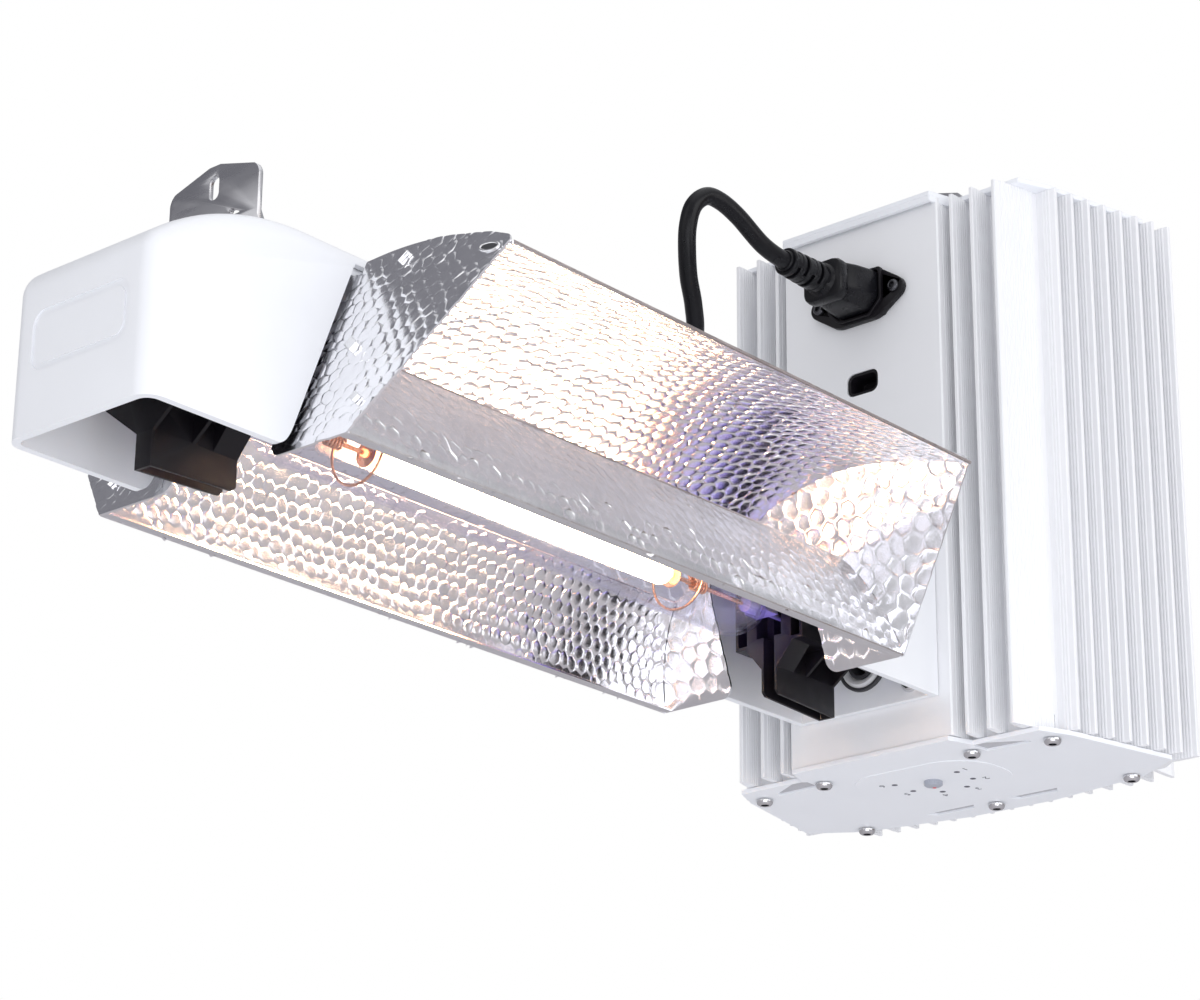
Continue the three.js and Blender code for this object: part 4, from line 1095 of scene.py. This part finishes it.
def digit(text, spot):
    """Printed character, readable from below."""
    curve = bpy.data.curves.new("digit", "FONT")
    curve.body = text
    curve.size = 4.8 * MM
    curve.extrude = 0.04 * MM
    curve.align_x = "CENTER"
    curve.align_y = "CENTER"
    holder = add_object("digit", curve)
    mesh = final_mesh(holder)
    bpy.data.objects.remove(holder)
    mesh.materials.clear()
    mesh.materials.append(ink)
    mesh.transform(Matrix.Translation(ORIGIN + Vector(spot) * MM)
                   @ Matrix.Rotation(math.pi / 2, 4, "Z") @ Matrix.Rotation(math.pi, 4, "X"))
    return add_object("digit", mesh)


def dial_marks():
    """Six printed dots and the numbers 1 to 6 around the knob."""
    printed = COVER_UNDERSIDE - DIAL_RISE
    pieces = []
    for i in range(6):
        turn = (i - 2.5) * SELECTOR_STEP
        pieces.append(rod("dot", 1.3, printed - 0.05, printed + 0.05, "z", around_knob(17, turn),
                          [ink], 20))
        pieces.append(digit(str(i + 1), around_knob(22.5, turn, printed - 0.02)))
    add_detail(join("dial_numbers", pieces), "bottom_cover")


# ---- cord and inlet
def chamfered(half_width, half_height, cut, radius=1.2):
    """Connector outline: a rectangle with its two lower corners cut, all corners rounded."""
    right = [(half_width - cut, -half_height), (half_width, cut - half_height),
             (half_width, half_height)]
    corners = [Vector(corner) for corner in right + [(-y, z) for y, z in right[::-1]]]
    points = []
    for i, here in enumerate(corners):
        ends = [here + (corners[k % 6] - here).normalized() * radius for k in (i - 1, i + 1)]
        points += curved_corner(ends[0], here, ends[1], 4)
    return points


def connector():
    """Moulded cord connector: nose, tapered body, collar and staggered strain relief."""
    def skin(name, outlines):
        return loft(name, [[(x, y, INLET_Z + z) for y, z in outline] for x, outline in outlines],
                    [black_rubber])

    stations = [
        (FRONT_X + 11.5, 11.8, 8.0, 4.6), (FRONT_X - 3.0, 11.8, 8.0, 4.6),
        (FRONT_X - 3.3, 12.5, 8.8, 5.0, 1.4), (203, 12.4, 8.7, 5.0, 1.6),
        (196, 11.6, 8.3, 4.8, 2.0), (190.5, 10.4, 7.8, 4.4, 2.4), (189.5, 9.4, 7.2, 4.0, 2.4),
    ]
    collar = [(190.6, -1.3), (190.2, -0.5), (189.3, 0), (185.9, 0), (184.6, -0.5), (184.0, -1.6)]
    throat = [(185, 8.2), (182.5, 6.9), (181.5, 5.2), (158.6, 4.7), (158, 4.2)]
    pieces = [
        skin("body", [(x, chamfered(*size)) for x, *size in stations]),
        skin("collar", [(x, rounded_rect(-10.2 - grow, -9.2 - grow, 10.2 + grow, 9.2 + grow,
                                         4.4 + grow, 3)) for x, grow in collar]),
        skin("throat", [(x, arc(0, 0, radius, 0, 345, 23)) for x, radius in throat]),
    ]
    pitch = 4.7
    inner = 4.0
    for i in range(5):
        start = 159.2 + i * pitch
        outer = 6.1 + 0.18 * i
        ring = [(inner, start), (outer - 0.4, start), (outer, start + 0.4), (outer, start + 2.5),
                (outer - 0.4, start + 2.9), (inner, start + 2.9)]
        pieces.append(lathe("ring", ring, "x", (0, 0, INLET_Z), [black_rubber], 28))
        for half in (0, 180):
            middle = half + (90 if i % 2 else 0)
            bar = arc(0, INLET_Z, outer - 0.1, middle - 34, middle + 34, 8)
            bar += arc(0, INLET_Z, inner, middle + 34, middle - 34, 8)
            pieces.append(prism("bar", bar, "x", start + 2.7, start + pitch + 0.2,
                                [black_rubber]))
    attach(join("cord_plug_body", pieces), "cord_connector")


def cord():
    path = smooth_path(CORD_PATH, 14)
    attach(sweep("cord_sheath", path, CORD_RADIUS, [black_rubber], 24), "power_cord")


def mains_plug():
    """Moulded wall plug: rounded body, waisted grip and short strain relief."""
    low, high = span("mains_plug")
    middle = (low + high) / 2
    sections = []
    for travel, half_y, half_z in ((0.0, 7.2, 7.2), (0.6, 8.6, 8.6), (4, 9.2, 9.2),
                                   (16, 9.0, 9.0), (22, 8.0, 8.2), (27, 6.2, 6.4),
                                   (31, 5.4, 5.4), (38, 4.6, 4.6)):
        outline = rounded_rect(-half_y, -half_z, half_y, half_z, min(half_y, half_z) * 0.62, 6)
        sections.append([(low.x + travel, middle.y + y, middle.z + z) for y, z in outline])
    attach(loft("plug_body", sections, [black_rubber], 45), "mains_plug")


def grommet():
    """Black outer ring, pale convex lip and dark bore."""
    low, high = (corner.x for corner in span("lead_grommet"))
    front = [(5.2, 1.2), (5.4, 0.6), (6.6, 0.5), (7.0, 1.5), (7.4, 0.9), (8.2, 0.2), (9.3, 0.1),
             (10.2, 0.8), (10.6, 1.6), (10.9, 0.9), (11.8, 0.9), (12.1, 1.4), (12.1, 2.7),
             (8.0, 2.7)]
    profile = [(radius, low + depth) for radius, depth in front]
    profile += [(8.0, high - 2.6), (10.4, high - 2.6), (10.4, high), (5.2, high), profile[0]]
    bands = [1] * 3 + [0] * 5 + [1] * 10
    attach(lathe("lead_bush", profile, "x", (0, 0, GROMMET_Z), [white_rubber, black_and_painted_hole_shade], 48,
                 bands), "lead_grommet")


# ---- everything
def corner_rounder(chosen, width):
    """Step for refined(): rounds the sharp corners that run along x and that chosen() picks."""
    def round_corners(work):
        corners = []
        for edge in work.edges:
            run = (edge.verts[0].co - edge.verts[1].co).normalized()
            if abs(run.x) < 0.99 or len(edge.link_faces) != 2:
                continue
            ends = [(vert.co - ORIGIN) / MM for vert in edge.verts]
            if edge.calc_face_angle(0) > math.radians(25) and all(map(chosen, ends)):
                corners.append(edge)
        bmesh.ops.bevel(work, geom=corners, offset=width * MM, segments=5, profile=0.5,
                        affect="EDGES")
    return round_corners


def hangers():
    """Bent zinc plates: the corners of the upright leaf are rounded, then all edges."""
    for node in ("cap_hanger", "ballast_hanger"):
        foot = span(node)[0].z
        rounder = corner_rounder(lambda at: at.z > foot + 4, 2.4)
        refined(node, f"{node}_finished", 0.35, rounder)


def inlet():
    """Black flange with rounded corners, and the raised frame around its socket."""
    def outer(at):
        return at.x < FRONT_X + 0.5 and (abs(at.y) > 15 or abs(at.z - INLET_Z) > 11.2)

    refined("power_inlet", "inlet_flange", 0.5, corner_rounder(outer, 2.6))
    face = span("power_inlet")[0].x
    border, hole = ([(y, z + INLET_Z) for y, z in chamfered(*size, 1.6)]
                    for size in ((14.4, 10.8, 6.2), (13.1, 9.5, 5.4)))
    rim = prism("inlet_frame", border, "x", face - 2.0, face + 0.4, [black_plastic])
    boolean(rim, prism("hole", hole, "x", face - 5, face + 5))
    tidy_mesh(rim)
    add_detail(bevel(rim, 0.35), "power_inlet")


def refined_nodes():
    """CAD shapes that are right as they are: cleaned, with rounded edges."""
    for width, nodes in {
        0.1: ["near_contact_clip", "far_contact_clip"],
        0.2: ["inlet_pin_1", "inlet_pin_2", "inlet_pin_3", "circuit_board"],
        0.25: ["mains_blade_1", "mains_blade_2", "mains_blade_3"],
        0.3: ["near_lamp_holder", "far_lamp_holder", "top_channel", "rotary_switch"],
        0.4: ["control_port", "choke_core", "transformer_core"],
        0.5: ["near_lamp_seal", "far_lamp_seal"],
        0.8: ["choke_winding", "transformer_winding", "bulk_capacitor"],
    }.items():
        for node in nodes:
            refined(node, f"{node}_finished", width)


def carried_nodes():
    """CAD nodes that stay as they are get their procedural material."""
    for node, obj in frame["nodes"].items():
        if not obj.hide_render:
            obj.material_slots[0].link = "OBJECT"
            obj.material_slots[0].material = SLOT_LOOK[NODE_SLOT[node]]


reflector_top()
baffles()
end_sheet(-1, "near_end_plate", 0.92, 0.85)
end_sheet(1, "far_end_plate", 1.25, 1.3)
bulb()
arc_tube()
wire_support(-1, "near_wire_support")
wire_support(1, "far_wire_support")
end_cap()
socket_housing()
ballast_housing()
lower_cover()
upper_cover()
fasteners()
knob()
dial_marks()
connector()
cord()
mains_plug()
grommet()
hangers()
inlet()
refined_nodes()
carried_nodes()


# ---- stage, light and camera
def pale_floor():
    """Wide floor under the object, a little darker in mirrors than for the camera."""
    reach = 20.0
    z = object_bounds()[0].z - 0.75
    shader = Shader("pale_floor")
    cloud = shader.ramp(shader.noise(3), 0, 1)
    pale = shader.mix(cloud, (0.82, 0.82, 0.83), (0.86, 0.86, 0.87))
    mirrored = shader.node("LightPath", {}).outputs["Is Glossy Ray"]
    shader.feed(shader.surface, {
        "Base Color": shader.mix(mirrored, pale, (0.58, 0.555, 0.575)),
        "Roughness": 0.7,
    })
    mesh = bpy.data.meshes.new("floor")
    mesh.from_pydata([(reach * a, reach * b, z) for a, b in ((-1, -1), (1, -1), (1, 1), (-1, 1))],
                     [], [[0, 1, 2, 3]])
    mesh.materials.append(shader.owner)
    add_object("floor", mesh)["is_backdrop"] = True


def studio_world():
    """White backdrop for the camera; a softer room, darker low down, for light and mirrors."""
    shader = Shader("studio", bpy.data.worlds)
    bpy.context.scene.world = shader.owner
    way = shader.node("TexCoord", {}).outputs["Generated"]
    rays = shader.node("LightPath", {}).outputs
    z = shader.node("SeparateXYZ", {"Vector": way}).outputs["Z"]
    greys = [(place, (level, level, level * 1.03))
             for place, level in ((0.45, 0.55), (0.56, 0.72), (0.75, 0.80))]
    color = shader.color_ramp(shader.ramp(z, 0, 1, -1, 1),
                              [(0.0, (0.60, 0.60, 0.64)), *greys, (1.0, (0.95, 0.96, 1.0))])
    for aim, edge, dark in DARK_PATCHES:
        facing = shader.node("VectorMath", {0: way, 1: Vector(aim).normalized()},
                             operation="DOT_PRODUCT").outputs["Value"]
        amount = shader.ramp(facing, 0, 1, edge, edge + (1 - edge) * 0.4)
        color = shader.mix(shader.math("MULTIPLY", amount, rays["Is Glossy Ray"]), color, dark)
    room = shader.nodes["Background"]
    shader.feed(room, {"Color": color, "Strength": WORLD_LEVEL})
    backdrop = shader.node("Background", {"Color": (1, 1, 1), "Strength": 1.0})
    both = shader.node("MixShader", {"Fac": rays["Is Camera Ray"], 1: room.outputs[0],
                                     2: backdrop.outputs[0]})
    shader.feed(shader.nodes["World Output"], {"Surface": both.outputs[0]})


def add_light(name, kind, place, power, color, in_mirrors=True):
    """Light at place (mm from ORIGIN) that the camera doesn't see."""
    data = bpy.data.lights.new(name, kind)
    data.energy = power
    data.color = color
    light = add_object(name, data)
    light.location = ORIGIN + Vector(place) * MM
    light.visible_camera = False
    light.visible_glossy = in_mirrors
    return light


def soft_box(name, place, target, size, power, color=(1, 1, 1), in_mirrors=True):
    """Rectangular softbox aimed at target."""
    light = add_light(name, "AREA", place, power, color, in_mirrors)
    light.data.shape = "RECTANGLE"
    light.data.size, light.data.size_y = size
    aim = Vector(target) - Vector(place)
    turn = aim.to_track_quat("-Z", "Y").to_matrix().to_4x4()
    light.matrix_world = Matrix.Translation(light.location) @ turn
    return light


def lights():
    """Studio softboxes, and the violet glow at the two lamp ends."""
    soft_box("top_box", (0, -200, 1300), (50, 0, 80), (1.6, 1.6), 3.2)
    soft_box("left_box", (-1300, 200, 250), (0, 0, 80), (1.0, 1.4), 1.8)
    soft_box("right_box", (200, -1500, 250), (150, 0, 80), (1.4, 1.2), 7.2)
    soft_box("low_box", (-500, -600, -500), (100, 0, 50), (1.0, 1.0), 5.0, (0.93, 0.95, 1.0))
    for side, power in ((1, 0.006), (-1, 0.0016)):
        beam = soft_box(f"violet_{side}", (side * SEAL_X, 0, 6), (side * (SEAL_X + 28), 0, 26),
                        (0.02, 0.02), power, (0.32, 0.20, 1.0), False)
        beam.data.spread = math.radians(70)
        glow = add_light(f"seal_glow_{side}", "POINT", (side * (SEAL_X + 2), 0, LAMP_Z), 0.0036,
                         (0.38, 0.30, 1.0))
        glow.data.shadow_soft_size = 0.014


def camera():
    """Long lens, below and in front of the end cap, looking up along the lamp."""
    data = bpy.data.cameras.new("camera")
    data.lens = 97.464
    data.sensor_width = 36
    data.shift_x = -0.00947
    data.shift_y = 0.00407
    data.clip_end = 50
    obj = add_object("camera", data)
    azimuth, elevation, roll = (math.radians(a) for a in (48.991, 20.508, 0.482))
    aim = (Matrix.Rotation(-azimuth, 4, "Z") @ Matrix.Rotation(math.pi / 2 + elevation, 4, "X")
           @ Matrix.Rotation(roll, 4, "Z"))
    obj.matrix_world = Matrix.Translation(ORIGIN + Vector((-834.49, -767.47, -390.02)) * MM) @ aim
    bpy.context.scene.camera = obj


pale_floor()
studio_world()
lights()
camera()

scene = bpy.context.scene
scene.view_settings.view_transform = "Standard"
scene.cycles.use_denoising = True
scene.cycles.sample_clamp_indirect = 4.0
scene.cycles.transparent_max_bounces = 16
scene.cycles.max_bounces = 8
